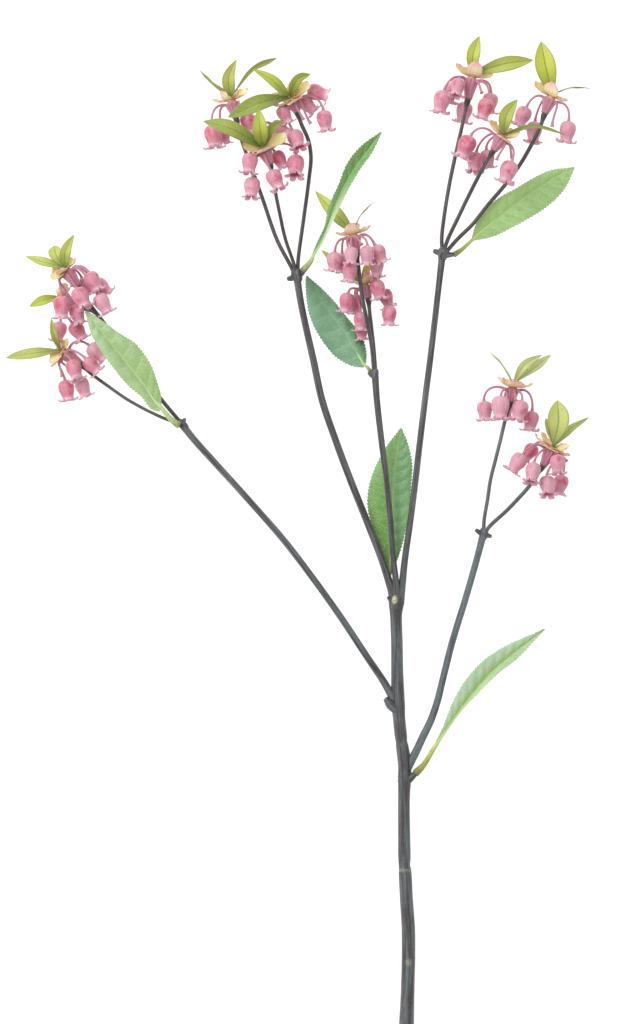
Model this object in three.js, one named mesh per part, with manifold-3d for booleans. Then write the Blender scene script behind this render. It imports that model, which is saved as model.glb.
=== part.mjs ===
// A flowering enkianthus branch, cut and laid flat on its back.
// Millimetres, +Z up, and the branch grows along +Y. Every place below is x to the right, y along
// the branch from its cut end, and z above the surface that it lies on.
import * as THREE from 'three';
import { mergeVertices } from 'three/addons/utils/BufferGeometryUtils.js';
import Module from 'manifold-3d';

const wasm = await Module();
wasm.setup();

// Middle of the whole branch in the drawing's x and y, which becomes the origin
const MIDDLE_X = 149;
const MIDDLE_Y = 246.5;

// A bell is a five-angled cup whose mouth opens into five short lobes that curl back. Its rings run
// from the shoulder to the throat, the lobes with the gaps between them, and back up inside.
const BELL_LENGTH = 10.6;
const BELL_LOBES = 5;
const BELL_CROWN = 0.5;
const BELL_RINGS = [
  [{ along: 2.1, radius: 3.5 }],
  [{ along: 8.2, radius: 3.1 }],
  [{ along: 9.7, radius: 4.9 }, { along: 10.1, radius: 2.8 }],
  [{ along: 7.8, radius: 1.8 }],
];

// Its arched stalk leaves the cone's side just below the rim
const PEDICEL_RADIUS = 0.55;
const PEDICEL_SIDES = 3;
const PEDICEL_STEPS = 4;
const PEDICEL_BELOW_TOP = 1.4;
const PEDICEL_INSET = 1.6;
const PEDICEL_ARCH = { outwards: 0.5, upwards: 0.18, overCrown: 0.42 };

// Each cluster stands on its twig: a fluted cone, then a whorl of bracts, then the young leaves
const GAP = 0.35;
const CONE_RADIUS = { foot: 1.25, top: 3.1 };
const CONE_SIDES = 10;
const CONE_FLUTE = 0.25;
const WHORL_SIDES = 6;
const WHORL_HEIGHT = 1.5;
const WHORL_RADIUS = { foot: 2.2, top: 1.9 };
const SHOOT_HEIGHT = 1.4;
const SHOOT_RADIUS = { foot: 1.3, top: 0.8 };

// Bracts and young leaves are thin blades, thickest along the middle
const BLADE_THICKNESS = 0.8;
const BLADE_TIP = { halfWidth: 0.3, thinning: 0.7 };
const BRACT_STEPS = 3;
const BRACT_CUP = 0.45;
const BRACT_SAG = 0.22;
const BRACT_BELLY_AT = 0.55;
const BRACT_FOOT_AT = 0.55;
const BRACT_FOOT_OUT = 1.2;
const LEAF_STEPS = 4;
const LEAF_FOLD = 0.3;
const LEAF_FOOT_AT = 0.6;
const LEAF_FOOT_OUT = 0.4;

// Large leaves are even sheets whose edge points alternate between tooth and notch
const BIG_LEAF_THICKNESS = 0.7;
const BIG_LEAF_STEPS = 18;
const TOOTH_DEPTH = 0.5;
const TOOTH_SHARE = 0.3;
const PETIOLE_SIDES = 5;

// Woody stem: main axis and branches as x, y, z, radius
const WOOD = {
  main: { sides: 7, route: [
    [202.9, -1, 3.7, 3.7], [203.2, 6, 3.5, 3.5], [203.6, 18, 3.5, 3.3], [204, 34, 3.7, 3.3],
    [203.9, 48, 4.1, 3.3], [203, 62, 4.6, 3.25], [202.3, 76, 5, 3.2], [202, 79, 5.1, 2.9],
    [202, 82, 5.2, 3.15], [201.8, 97, 5.8, 3.1], [201.7, 112, 6.4, 3.05], [202, 122, 6.8, 3.3],
    [202, 130, 7.1, 3.4], [200.8, 139, 7.5, 3.1], [200.5, 141, 7.6, 2.85], [200.3, 143, 7.7, 3.05],
    [199.2, 154, 8.2, 3.1], [198.8, 162, 8.5, 3.3], [198.4, 176, 9.2, 3.0],
    [198.2, 192, 10, 2.9], [197.8, 204, 10.8, 3.0], [198, 211, 11.2, 3.7], [198.2, 214, 11.4, 3.0],
  ] },
  left: { sides: 5, route: [
    [198.5, 158, 8.6, 2.2], [195, 165, 9, 2.1], [191, 172, 9.6, 2.0], [184.2, 182, 10.5, 2.0],
    [171, 202, 12.2, 1.95], [156.8, 222, 13.8, 1.9], [141.5, 242, 15.3, 1.9], [124, 262, 17, 1.85],
    [106, 282, 18.6, 1.85], [96.8, 292, 19.5, 1.85], [91.2, 300, 20, 1.9],
  ] },
  upperLeft: { sides: 5, route: [
    [197.8, 210, 11.2, 2.2], [194.7, 221, 12, 1.9], [191, 232, 12.8, 1.8], [183, 252, 14.4, 1.8],
    [175, 272, 16, 1.8], [167.5, 292, 17.6, 1.75], [160.8, 312, 19.2, 1.75],
    [156.5, 332, 20.8, 1.75], [152, 352, 22.4, 1.7], [150, 362, 23.2, 1.75], [148.2, 374, 24, 1.9],
  ] },
  middle: { sides: 5, route: [
    [198.2, 210, 12, 2.0], [197.6, 222, 13.4, 1.65], [196.5, 232, 14, 1.5], [195, 252, 15.2, 1.5],
    [193, 272, 16.5, 1.45], [190.5, 292, 17.8, 1.45], [188.2, 312, 19.2, 1.45],
    [187.2, 325, 20, 1.6],
  ] },
  upperRight: { sides: 5, route: [
    [199.6, 210, 11.2, 2.2], [201, 221, 12, 1.8], [202.2, 232, 12.8, 1.65], [205, 252, 14.2, 1.6],
    [207.5, 272, 15.6, 1.6], [209.8, 292, 17, 1.6], [212.2, 312, 18.4, 1.6],
    [214.8, 332, 19.6, 1.6], [217.2, 352, 20.8, 1.6], [219.5, 372, 21.6, 1.6],
    [221, 385, 22, 1.9],
  ] },
  right: { sides: 5, route: [
    [202.4, 125, 7, 2.2], [205.2, 130.5, 7.4, 2.0], [208, 136, 8, 1.95], [211.2, 143, 8.8, 1.9],
    [215.5, 152, 9.8, 1.8], [218.8, 162, 10.8, 1.75], [221.2, 172, 11.8, 1.7],
    [226.2, 192, 13.8, 1.7], [232.5, 212, 15.6, 1.65], [238.2, 232, 17.2, 1.6],
    [241.5, 245, 18, 1.8],
  ] },
};

// Twigs that carry the clusters: their routes, thinner than the branches
const TWIG_RADIUS = 1.1;
const TWIG_SIDES = 4;
const TWIGS = {
  A: [[147.5, 374, 24], [146, 378, 24], [138.5, 392, 23.2], [131.2, 412, 22], [124.8, 430, 21],
    [120.5, 442, 20.4], [118, 452.2, 20]],
  B: [[148.6, 374, 24.5], [148.8, 382, 25], [151.5, 402, 26.4], [154.2, 422, 27.8],
    [155.4, 433, 28.5], [154.6, 441.5, 29.2], [151.6, 449, 29.8], [148.6, 455.2, 30]],
  C: [[148, 374, 25], [146.6, 380, 27], [142.5, 392, 31], [139.4, 406, 35], [136.8, 419, 38.4],
    [135, 428.6, 40]],
  D: [[221, 385, 22], [220.5, 392, 21.6], [221.5, 402, 20.4], [224.8, 422, 18.2],
    [229.2, 442, 16], [233.6, 461.8, 14]],
  E: [[221.2, 385, 22.5], [223.5, 392, 24.8], [228.2, 402, 28], [233, 412, 30.8],
    [238, 422, 33.4], [242.6, 430.6, 35.2], [245.8, 435.6, 36]],
  F: [[221.6, 384.5, 22], [228.5, 392, 21.4], [236.5, 399.5, 21], [244.5, 409.2, 20.8],
    [253.5, 419.8, 20.8], [260.2, 429.5, 21.2], [266.4, 441, 21.7], [270, 449, 22],
    [271.8, 454.6, 22]],
  G: [[241.5, 245, 18], [241.8, 252, 18], [243.5, 262, 18], [245, 272, 17.8], [247.5, 282, 17.6],
    [250, 292, 17.4], [252.4, 302, 17.6], [255.1, 310.6, 18]],
  H: [[241.8, 245, 18], [244.8, 249, 17.2], [253, 256.5, 15.4], [258.8, 262.5, 14],
    [265, 269.5, 12.6], [271.2, 278.6, 11]],
  I: [[187, 325, 20.4], [185.8, 339.5, 23.4], [183.2, 351, 26], [180.8, 363, 28], [179, 377.5, 29.8],
    [178.1, 385.4, 30]],
  J: [[187.6, 325, 20], [186.8, 339.5, 19.4], [185.6, 350, 19], [184, 362.4, 19]],
  K: [[90.8, 300, 20.4], [81.5, 311, 21.4], [66, 331.5, 22.6], [51.5, 351, 23.6],
    [45.5, 358.8, 24], [39.3, 368, 24]],
  L: [[90.6, 300, 19.6], [81.5, 303.6, 17.8], [65, 312, 14.4], [54, 319.5, 12.6],
    [44, 326.6, 11.4], [40.3, 329.6, 11]],
  M: [[49, 354, 23.8], [46, 356.4, 19], [42, 357.6, 14.4], [37.9, 358.4, 12.1]],
};

// Swellings at the nodes and the short stubs and old bud scales on them: from, to, radii
const STUB_SIDES = 5;
const STUBS = [
  [[93.4, 297.4, 20], [89.4, 301.6, 20.2], 2.6, 2.2],
  [[91, 300, 21], [90.2, 301.2, 22.8], 1.5, 1.1],
  [[148.8, 371, 24], [147.8, 376.4, 24.4], 2.9, 2.7],
  [[148, 373.4, 24], [143, 372.4, 24.6], 1.9, 1.1],
  [[148.4, 373.6, 24], [151.4, 375.6, 24.4], 2.0, 1.2],
  [[187.2, 322, 20], [187.2, 327, 20.4], 2.3, 2.1],
  [[187.2, 323, 20], [184.2, 325.6, 20], 1.5, 1.0],
  [[220.6, 382, 22], [221.4, 387, 22.2], 2.7, 2.6],
  [[221, 385, 22], [216.8, 386.4, 22.4], 1.7, 1.2],
  [[221, 384, 22], [226, 384.6, 22.6], 1.8, 1.2],
  [[241, 242.4, 17.8], [242, 247, 18], 2.4, 2.3],
  [[241.4, 244.6, 18], [237.8, 247, 18.4], 1.5, 1.0],
  [[241.6, 244.6, 18], [245.2, 243.8, 18.2], 1.5, 1.0],
  [[198.4, 157, 8.6], [192.6, 161.6, 9.6], 2.0, 1.5],
  [[202.4, 121.4, 7], [207.2, 124.8, 7.6], 2.0, 1.5],
  [[198, 209, 11.6], [194, 213.4, 12.6], 1.7, 1.1],
  [[198.2, 211, 12.4], [197, 212.6, 15], 1.5, 1.2],
];

// Clusters. The cone runs from its foot to its top.
// bells: middle x, y, z, then lean to the right from straight down and tip towards the viewer in
// degrees, then size. bracts: tip x, y, z, width. leaves: mid x, y, z, tip x, y, z, width, roll.
const CLUSTERS = {
  A: {
    cone: [[117.9, 452.8, 20], [115.8, 460.6, 20.5]],
    bells: [[106.6, 443.6, 25, 8, 5, 1.1], [124.4, 450.6, 14, 28, 0, 1], [111.2, 445, 16, 12, 0, 0.95]],
    bracts: [[123.5, 468, 21, 6.5], [110.5, 466.4, 25, 5.7], [105.5, 462.4, 18.6, 3.4],
      [117.6, 467.4, 13.5, 6.5]],
    leaves: [[105.4, 471.8, 22, 99, 477.4, 21, 2.4, 70], [113.6, 473, 24, 118, 482, 24, 6, 10],
      [122.4, 475, 21, 138.4, 483, 19, 2.6, 55]],
  },
  B: {
    cone: [[148.4, 455.7, 30.1], [145.8, 460.4, 31]],
    bells: [[158.2, 466, 25.4, 72, 0, 1], [153.4, 459.4, 25, 48, 0, 0.95], [161.8, 452, 29, 8, 0, 1],
      [141.2, 454.1, 33, 28, 0, 0.85], [147.9, 441.5, 35.6, 22, 25, 1]],
    bracts: [[136, 465, 33, 5.7], [145.6, 471.4, 26.5, 7.8], [152.6, 470, 31, 9.1],
      [136.8, 458.6, 37.6, 6], [148, 461.4, 39.4, 9.1]],
    leaves: [[135.6, 472.4, 35, 125, 477.4, 34, 6, 10], [148.4, 471, 36, 155, 473.4, 34, 3.6, 40],
      [130, 461.8, 43.6, 114.5, 453.4, 37, 9, 12]],
  },
  C: {
    cone: [[134.9, 429.1, 40.1], [132.2, 435.4, 42]],
    bells: [[124.8, 429.4, 45, -5, 10, 1], [125.6, 417.6, 43, -5, 15, 1], [137.2, 421.6, 45.5, 25, 10, 1],
      [147.2, 428.6, 37, -4, 25, 1.1], [139.4, 431.6, 34, 30, 0, 0.9], [139.6, 447, 31.2, 60, 0, 0.95]],
    bracts: [[121.5, 440.4, 44, 9.1], [126.6, 445.4, 38, 7.8], [142, 445, 41, 7.8],
      [131.8, 436.6, 51, 10.4]],
    leaves: [[115, 446.6, 49.6, 101.6, 450.4, 45, 7.4, 12], [129.8, 447.4, 51, 129.4, 456.4, 50, 7, 0],
      [134.4, 446, 46.6, 142, 451, 44, 3.4, 50]],
  },
  D: {
    cone: [[233.8, 462.4, 14], [235.6, 472.6, 14.8]],
    bells: [[220.8, 461.6, 17, -14, 0, 1.1], [224.8, 465.6, 9.5, -10, 0, 0.95],
      [228.4, 468, 21, -10, 20, 0.9], [243, 458.2, 18, -18, 0, 1], [231, 456.6, 4.8, -12, 0, 1],
      [246, 461.4, 9.5, -6, 0, 0.95]],
    bracts: [[227.8, 479.2, 16, 5.2], [239, 480, 22, 9.1], [246.4, 475.6, 13, 5.2],
      [234, 479, 7.5, 7.8]],
    leaves: [[236.4, 485.6, 17, 239.4, 494, 17, 6.4, 10], [252, 480, 16.6, 266.4, 481, 16, 5, 20]],
  },
  E: {
    cone: [[246.1, 436.1, 36.1], [250, 442, 37]],
    bells: [[232.4, 438.6, 37, -24, 0, 1.12], [237, 430.6, 28.5, -8, 15, 1],
      [244.4, 432.4, 26.5, 8, 0, 0.9],
      [254, 426, 38.5, -20, 0, 1.05]],
    bracts: [[244.6, 451.6, 37, 7], [252.4, 441.6, 46.4, 8.3], [259.2, 445.4, 38, 7.8],
      [252.8, 449, 30, 7.8]],
    leaves: [[252.4, 453.6, 40.5, 258, 461.4, 40, 6.6, 10], [266, 448.4, 42, 283.4, 443.4, 38, 2.8, 50]],
  },
  F: {
    cone: [[272, 455.1, 22], [274.8, 462.4, 23]],
    bells: [[261.4, 454, 23, -24, 0, 1], [266.8, 446.4, 13.5, -6, 10, 1],
      [283.6, 446.6, 23.5, -8, 0, 1.05]],
    bracts: [[267.6, 470, 22, 5.2], [276.8, 468.4, 30.5, 9.1], [283.8, 461.6, 24, 5.2],
      [273, 468.4, 15.5, 6.5]],
    leaves: [[272.4, 479.4, 25, 270.4, 491, 24, 10, 0], [285.6, 467.2, 23, 296, 468, 21, 2.4, 80]],
  },
  G: {
    cone: [[255.2, 311.1, 18], [255.9, 317.6, 19]],
    bells: [[242, 306.6, 18.5, 4, 0, 0.95], [248.8, 308.4, 25.5, -2, 5, 1],
      [251.6, 308.6, 11.5, 4, 0, 0.95],
      [259.8, 307.4, 24, -14, 5, 1], [265.6, 302.2, 15.5, -8, 0, 0.95]],
    bracts: [[248.6, 323.6, 19, 6.5], [258, 321.6, 27.6, 10.4], [263.6, 319, 21, 5.2],
      [266.4, 320.4, 13.4, 3.4], [254, 322.6, 12, 7.8]],
    leaves: [[251, 330, 20.5, 244, 336.4, 20, 2.6, 70], [261.8, 330, 23.5, 270.4, 335, 23, 5.4, 15],
      [267.4, 327.6, 18, 275.4, 334.8, 16, 4.8, -10]],
  },
  H: {
    cone: [[271.4, 279.1, 11], [275.4, 286.8, 12]],
    bells: [[258.4, 280.6, 14.5, -34, 0, 1], [264.8, 286, 7, -36, 0, 0.9], [266, 275.6, 19.5, -8, 20, 1],
      [278.6, 279.8, 17.5, 0, 10, 0.95], [273.6, 269, 15, 4, 25, 1], [280.6, 270, 5, -14, 0, 0.95]],
    bracts: [[271, 296.2, 7.5, 6.5], [267.4, 295.4, 14, 3.6], [274, 288.6, 20, 10.4],
      [284.6, 289.4, 14, 7.3], [285.4, 284.4, 8.4, 4.7]],
    leaves: [[280, 300.6, 17, 279, 312, 16, 10, 0], [274, 297.4, 16.5, 273, 303, 16, 3.4, 30],
      [284.6, 296.2, 13, 294, 303.4, 12, 3.2, 40]],
  },
  I: {
    cone: [[178, 385.9, 30.1], [176.4, 393.4, 31]],
    bells: [[166.6, 381.2, 28.5, -4, 0, 1], [171.2, 380.4, 21, 4, 0, 0.9],
      [175.4, 384.8, 38, 0, 10, 0.85],
      [174.6, 376.8, 33, -6, 0, 0.95], [183.6, 385.2, 36, -2, 0, 0.95], [190, 386, 30, 24, 0, 0.95],
      [188, 378.2, 25, 0, 0, 0.9]],
    bracts: [[175.4, 398.6, 39.4, 10.4], [185, 399, 31, 5.2], [167.4, 395.4, 30, 3.9],
      [176, 400.4, 23.6, 7.8]],
    leaves: [[167, 406.6, 32.5, 157.4, 416, 30, 5.8, 10], [180.8, 403.6, 32, 187.4, 411, 31, 2.4, 80]],
  },
  J: {
    cone: [[183.8, 362.9, 19], [182.1, 368.6, 19.4]],
    bells: [[173, 360.6, 22, -10, 0, 0.95], [178, 360, 13.5, -2, 0, 0.95], [180, 351.2, 20, 0, 0, 0.85],
      [180.6, 346.6, 13, 4, 0, 0.85], [188.8, 367, 24.2, 12, 0, 0.92], [193, 363, 16, 18, 0, 0.9],
      [194.2, 354.2, 20.5, 0, 0, 0.95]],
    bracts: [[183, 376.4, 23.6, 7], [174.8, 373, 20.6, 5.2], [190.4, 374.6, 18, 5.2],
      [179, 375.4, 12.6, 6.5]],
    leaves: [[169.4, 379.8, 14.6, 160.4, 387, 13, 5.8, 10],
      [183, 377.4, 19.6, 184.6, 381.6, 19.6, 3.6, 0]],
  },
  K: {
    cone: [[39, 368.5, 24], [33.6, 376, 25]],
    bells: [[30.8, 358.2, 28, 0, 0, 1.05], [38.4, 354.8, 22.5, 18, 0, 0.95],
      [40.6, 362.8, 30.5, 26, 10, 1.05],
      [46.6, 371, 27.5, 26, 0, 1], [50.8, 368.4, 19, 48, 0, 0.95], [51.4, 360, 28.5, 30, 0, 1],
      [42.2, 368.8, 16.5, 20, 0, 0.85]],
    bracts: [[25, 374, 28, 7.8], [35, 383.2, 25, 5.5], [37.6, 383, 19.6, 4.4],
      [29, 376.6, 33, 6.5]],
    leaves: [[20.6, 381.8, 27, 13, 383.4, 26, 4, 25], [28, 384.4, 27, 27, 389, 24, 6.4, 0],
      [34, 386.4, 30, 37, 394.4, 29, 4.4, 25]],
  },
  L: {
    cone: [[40.1, 330, 11], [32, 335.6, 12]],
    bells: [[32.8, 317, 4.8, 10, 0, 1], [41, 318.4, 12.5, 20, 0, 0.95], [37, 327, 20, 20, 40, 1],
      [45.8, 329.4, 18.5, 44, 0, 0.9], [48, 336, 13.5, 48, 0, 1]],
    bracts: [[24, 331.4, 14.5, 8.3], [33, 343, 13.5, 6.5], [24.6, 328.6, 8, 3.6],
      [29, 342, 5.5, 6.5]],
    leaves: [[16.6, 336.4, 14.5, 2.6, 333.6, 11, 5, 15], [26.4, 345.4, 20, 25.4, 353, 20, 3.6, 30]],
  },
  M: {
    cone: [[37.2, 358.8, 12], [31.6, 362.4, 12]],
    bells: [[29, 346.4, 11, -10, 0, 0.95], [38.6, 346.5, 15.2, 34, 0, 0.95]],
    bracts: [[30, 370, 14.6, 6.5], [34.6, 368.6, 8, 3.9], [25.6, 362, 15.6, 5.2]],
    leaves: [[21, 363.4, 13.4, 14.6, 359.6, 12, 4.4, 10]],
  },
};

// Large toothed leaves, each between its left edge, midrib and right edge from base to tip
const BIG_LEAVES = {
  leaf_left: {
    petiole: { radius: 0.8, route: [[89.95, 301.45, 23.6], [85.6, 305.4, 25.6], [80.4, 308.4, 26.6],
      [76, 313.4, 27.8]] },
    left: [[79.4, 307, 26.6], [75, 308.6, 28.2], [71.4, 313.4, 29.6], [64, 319, 31], [56.4, 328, 32.2],
      [50, 337, 32], [46, 344, 31], [42.5, 356, 28.9]],
    middle: [[80, 308.6, 26.4], [77, 311.6, 27], [73, 317.4, 27.8], [65, 328, 29], [57, 338, 30],
      [50, 347, 30], [46, 352, 29.6], [42.8, 356.2, 28.8]],
    right: [[80.4, 309.6, 26.6], [80, 314.4, 27.4], [78.4, 321, 28], [74.6, 330.6, 29], [68, 339.6, 30],
      [58.4, 346, 30.6], [51.4, 351.4, 30.2], [43.1, 356.5, 28.9]],
  },
  leaf_upper_left: {
    petiole: { radius: 0.85, route: [[151.1, 376.8, 25.3], [154.2, 381.6, 28.4], [157.6, 387.4, 32],
      [160.4, 393.6, 35.4]] },
    left: [[155.4, 383.6, 30], [158.6, 391.4, 35.6], [161.8, 398, 39], [163.6, 407, 42.4],
      [168.6, 418.4, 45],
      [173.4, 430, 46.4], [181, 439, 46], [190, 445, 44.6]],
    middle: [[156, 383.2, 29.4], [159.8, 391, 33.4], [163.4, 399.4, 37.4], [166.6, 407.4, 40.6],
      [171.6, 418, 43.4], [177.6, 428, 44.6], [183.6, 436, 44.6], [190.2, 445, 44.5]],
    right: [[156.8, 383, 30], [161.4, 390.6, 35.4], [165.8, 399.6, 40.4], [169.8, 408, 43.6],
      [174.6, 417.6, 45.8], [180, 426.6, 46.4], [186, 435, 45.8], [190.4, 444.8, 44.6]],
  },
  leaf_middle: {
    petiole: { radius: 0.8, route: [[185, 326.2, 18.1], [183.6, 328.2, 16], [181.6, 330, 14.8],
      [177.4, 336.4, 11.8]] },
    left: [[181.4, 328.4, 14.6], [176, 329.4, 12.4], [167.6, 334.6, 8.8], [159, 346, 6.4],
      [155, 355, 5.8],
      [153.4, 364, 6.6], [152.8, 372, 8.4]],
    middle: [[181.8, 329.8, 14.4], [178.4, 335.4, 11.6], [172, 346, 7.8], [165.4, 355.4, 5.4],
      [160, 363, 5], [156.4, 369, 6.2], [152.8, 374, 8.4]],
    right: [[182.8, 330.6, 14.6], [183, 336.4, 12.4], [180.4, 345, 8.6], [174.4, 352.4, 6.2],
      [166.6, 362, 6], [160.4, 368.4, 7], [153.2, 374.4, 8.6]],
  },
  leaf_fork: {
    petiole: { radius: 0.8, route: [[195, 214.4, 9.05], [194, 220, 8.3], [194.4, 226, 8.1],
      [195, 233, 8.1]] },
    left: [[193.8, 223, 8.4], [189.4, 238, 9], [185.4, 249.6, 9.8], [183.4, 260, 10.2], [184.4, 270, 10],
      [188, 280, 9.4], [193, 289, 8.6], [200, 298, 7.4]],
    middle: [[194.4, 223, 8], [195.4, 238, 8], [196, 250, 8], [196.2, 262, 8], [196.6, 272, 8],
      [197.4, 281, 8], [198.6, 289, 7.8], [200.4, 298, 7.2]],
    right: [[195, 223, 8.4], [200, 236, 9.2], [202.6, 246, 9.8], [204.6, 257, 10], [205.6, 270, 10],
      [206, 280, 9.4], [204, 290, 8.4], [200.8, 297.8, 7.4]],
  },
  leaf_upper_right: {
    petiole: { radius: 0.85, route: [[227, 385, 22.2], [230.4, 387.6, 19.4], [235.6, 391.6, 16.6],
      [241, 394.6, 15.6]] },
    left: [[235.4, 392.6, 16.8], [238.4, 401, 17.2], [243.6, 408, 17.2], [250, 413, 16.8],
      [258.6, 417.8, 16],
      [266.6, 422.6, 15], [275.6, 426.8, 13.8], [287, 428.6, 12.4]],
    middle: [[236, 392.2, 16.4], [243.6, 399, 15.6], [250, 404, 15], [257, 409.6, 14.2],
      [264, 415, 13.4], [271.6, 420, 12.8], [279, 424.6, 12.4], [287, 428.4, 12]],
    right: [[236.6, 391.6, 16.8], [246, 394.2, 16.8], [254, 398, 16.6], [262, 402.4, 16],
      [270, 407.4, 15.2], [277, 413, 14.4], [282.4, 419, 13.4], [287.2, 428, 12.4]],
  },
  leaf_low: {
    petiole: { radius: 0.9, route: [[207.55, 125.3, 7.75], [211.6, 130, 8.8], [216.2, 137, 10],
      [221, 144, 10.8]] },
    left: [[216.4, 138.4, 10.2], [220.6, 148.4, 12.4], [225.4, 161, 14.4], [231.8, 171.4, 15.8],
      [240.4, 180.6, 16], [250, 187, 15.2], [260, 192, 13.8], [272, 197.6, 12]],
    middle: [[217, 138, 9.8], [223, 147, 10.6], [229, 156, 11.2], [237.4, 167, 11.6],
      [245.4, 176, 11.8], [254.4, 183.6, 11.8], [263, 190.4, 11.8], [272.2, 197.4, 11.6]],
    right: [[217.4, 137.6, 10.4], [225, 149.4, 11.6], [231.4, 157.8, 12.6], [240.4, 166.6, 13.4],
      [249.4, 175.4, 13.6], [258, 182, 13.2], [265.6, 189.8, 12.6], [272.4, 197.2, 12]],
  },
};

const COLOURS = {
  stem: 0x4f4a4c, bells: 0xcf7890, bracts: 0xe8c39f, youngLeaves: 0xa9c244, bigLeaves: 0x86b070,
};

const vector = (place) => new THREE.Vector3(place[0], place[1], place[2]);
const UP = new THREE.Vector3(0, 0, 1);

/** The mean of a ring's points. */
const average = (ring) => ring
  .reduce((sum, point) => sum.add(point), new THREE.Vector3())
  .divideScalar(ring.length);
/** A blade's ring bends at its second point and the one across from it, so its middle is between them. */
const spine = (ring) => ring[1].clone().lerp(ring[1 + ring.length / 2], 0.5);

/** A closed body through rings of points, with a fan from the middle of the ring at each end. */
function loft(rings, middleOf = average) {
  const points = rings.flat();
  const firsts = rings.map((_, i) => rings.slice(0, i).flat().length);
  const triangles = [];
  for (let i = 0; i < rings.length - 1; i += 1) {
    const band = rings[i].length === rings[i + 1].length ? evenBand : unevenBand;
    triangles.push(...band(firsts[i], rings[i].length, firsts[i + 1], rings[i + 1].length));
  }
  for (const end of [0, rings.length - 1]) {
    const around = rings[end].length;
    points.push(middleOf(rings[end]));
    for (let j = 0; j < around; j += 1) {
      const here = firsts[end] + j;
      const next = firsts[end] + (j + 1) % around;
      triangles.push(points.length - 1, end ? here : next, end ? next : here);
    }
  }
  const geometry = new THREE.BufferGeometry().setFromPoints(points);
  geometry.setIndex(facingOut(points, triangles));
  return geometry;
}

/** The band between two equal rings; its far half is split along the other diagonal, so that a thin
 *  blade's two faces stay alike. */
function evenBand(low, around, high) {
  const triangles = [];
  for (let j = 0; j < around; j += 1) {
    const next = (j + 1) % around;
    const [a, b, c, d] = [low + j, low + next, high + j, high + next];
    triangles.push(...(j < around / 2 ? [a, b, d, a, d, c] : [a, b, c, b, d, c]));
  }
  return triangles;
}

/** The band between two rings that differ in their number of points. */
function unevenBand(low, lowCount, high, highCount) {
  const triangles = [];
  let i = 0;
  let j = 0;
  while (i < lowCount || j < highCount) {
    const here = low + (i % lowCount);
    const above = high + (j % highCount);
    if (j === highCount || (i < lowCount && (i + 0.5) / lowCount <= (j + 0.5) / highCount)) {
      i += 1;
      triangles.push(here, low + (i % lowCount), above);
    } else {
      j += 1;
      triangles.push(here, high + (j % highCount), above);
    }
  }
  return triangles;
}

/** The triangles, turned round if they enclose a negative volume. */
function facingOut(points, triangles) {
  let volume = 0;
  for (let i = 0; i < triangles.length; i += 3) {
    const [a, b, c] = triangles.slice(i, i + 3).map((index) => points[index]);
    volume += a.dot(b.clone().cross(c));
  }
  return volume > 0 ? triangles : triangles.reverse();
}

/** One body from closed geometries that run into each other. */
function joined(geometries) {
  const solids = geometries.map((geometry) => {
    const merged = mergeVertices(geometry);
    return new wasm.Manifold(new wasm.Mesh({
      numProp: 3,
      vertProperties: new Float32Array(merged.attributes.position.array),
      triVerts: new Uint32Array(merged.index.array),
    }));
  });
  const { vertProperties, triVerts } = solids.reduce((sum, solid) => sum.add(solid)).getMesh();
  const geometry = new THREE.BufferGeometry();
  geometry.setAttribute('position', new THREE.BufferAttribute(vertProperties, 3));
  geometry.setIndex(new THREE.BufferAttribute(triVerts, 1));
  return geometry;
}

/** Rings of a round section carried along points without twisting. */
function carriedRings(points, radii, sides) {
  let across = null;
  return points.map((point, i) => {
    const before = points[Math.max(i - 1, 0)];
    const after = points[Math.min(i + 1, points.length - 1)];
    const forward = after.clone().sub(before).normalize();
    if (!across) across = forward.clone().cross(Math.abs(forward.z) < 0.9 ? UP : new THREE.Vector3(1, 0, 0));
    across = across.clone().addScaledVector(forward, -across.dot(forward)).normalize();
    const beside = forward.clone().cross(across);
    return Array.from({ length: sides }, (_, j) => {
      const angle = (j / sides) * 2 * Math.PI;
      return point.clone()
        .addScaledVector(across, radii[i] * Math.cos(angle))
        .addScaledVector(beside, radii[i] * Math.sin(angle));
    });
  });
}

/** A tapering rod through x, y, z, radius places. */
function rod(route, sides, steps = route.length - 1) {
  const curve = new THREE.CatmullRomCurve3(route.map(vector), false, 'centripetal');
  const points = [];
  const radii = [];
  for (let i = 0; i <= steps; i += 1) {
    const along = (i / steps) * (route.length - 1);
    const from = Math.min(Math.floor(along), route.length - 2);
    points.push(curve.getPoint(i / steps));
    radii.push(THREE.MathUtils.lerp(route[from][3], route[from + 1][3], along - from));
  }
  return loft(carriedRings(points, radii, sides));
}

/** A straight peg between two places. */
function peg(from, to, radiusFrom, radiusTo, sides) {
  return loft(carriedRings([from, to], [radiusFrom, radiusTo], sides));
}

/** The foot, top and unit direction of a cluster's cone. */
function axisOf(cluster) {
  const [foot, top] = cluster.cone.map(vector);
  return { foot, top, axis: top.clone().sub(foot).normalize() };
}

/** The direction from the cone's axis out to a place. */
function outwards(place, top, axis) {
  const offset = place.clone().sub(top);
  return offset.addScaledVector(axis, -offset.dot(axis)).normalize();
}

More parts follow.
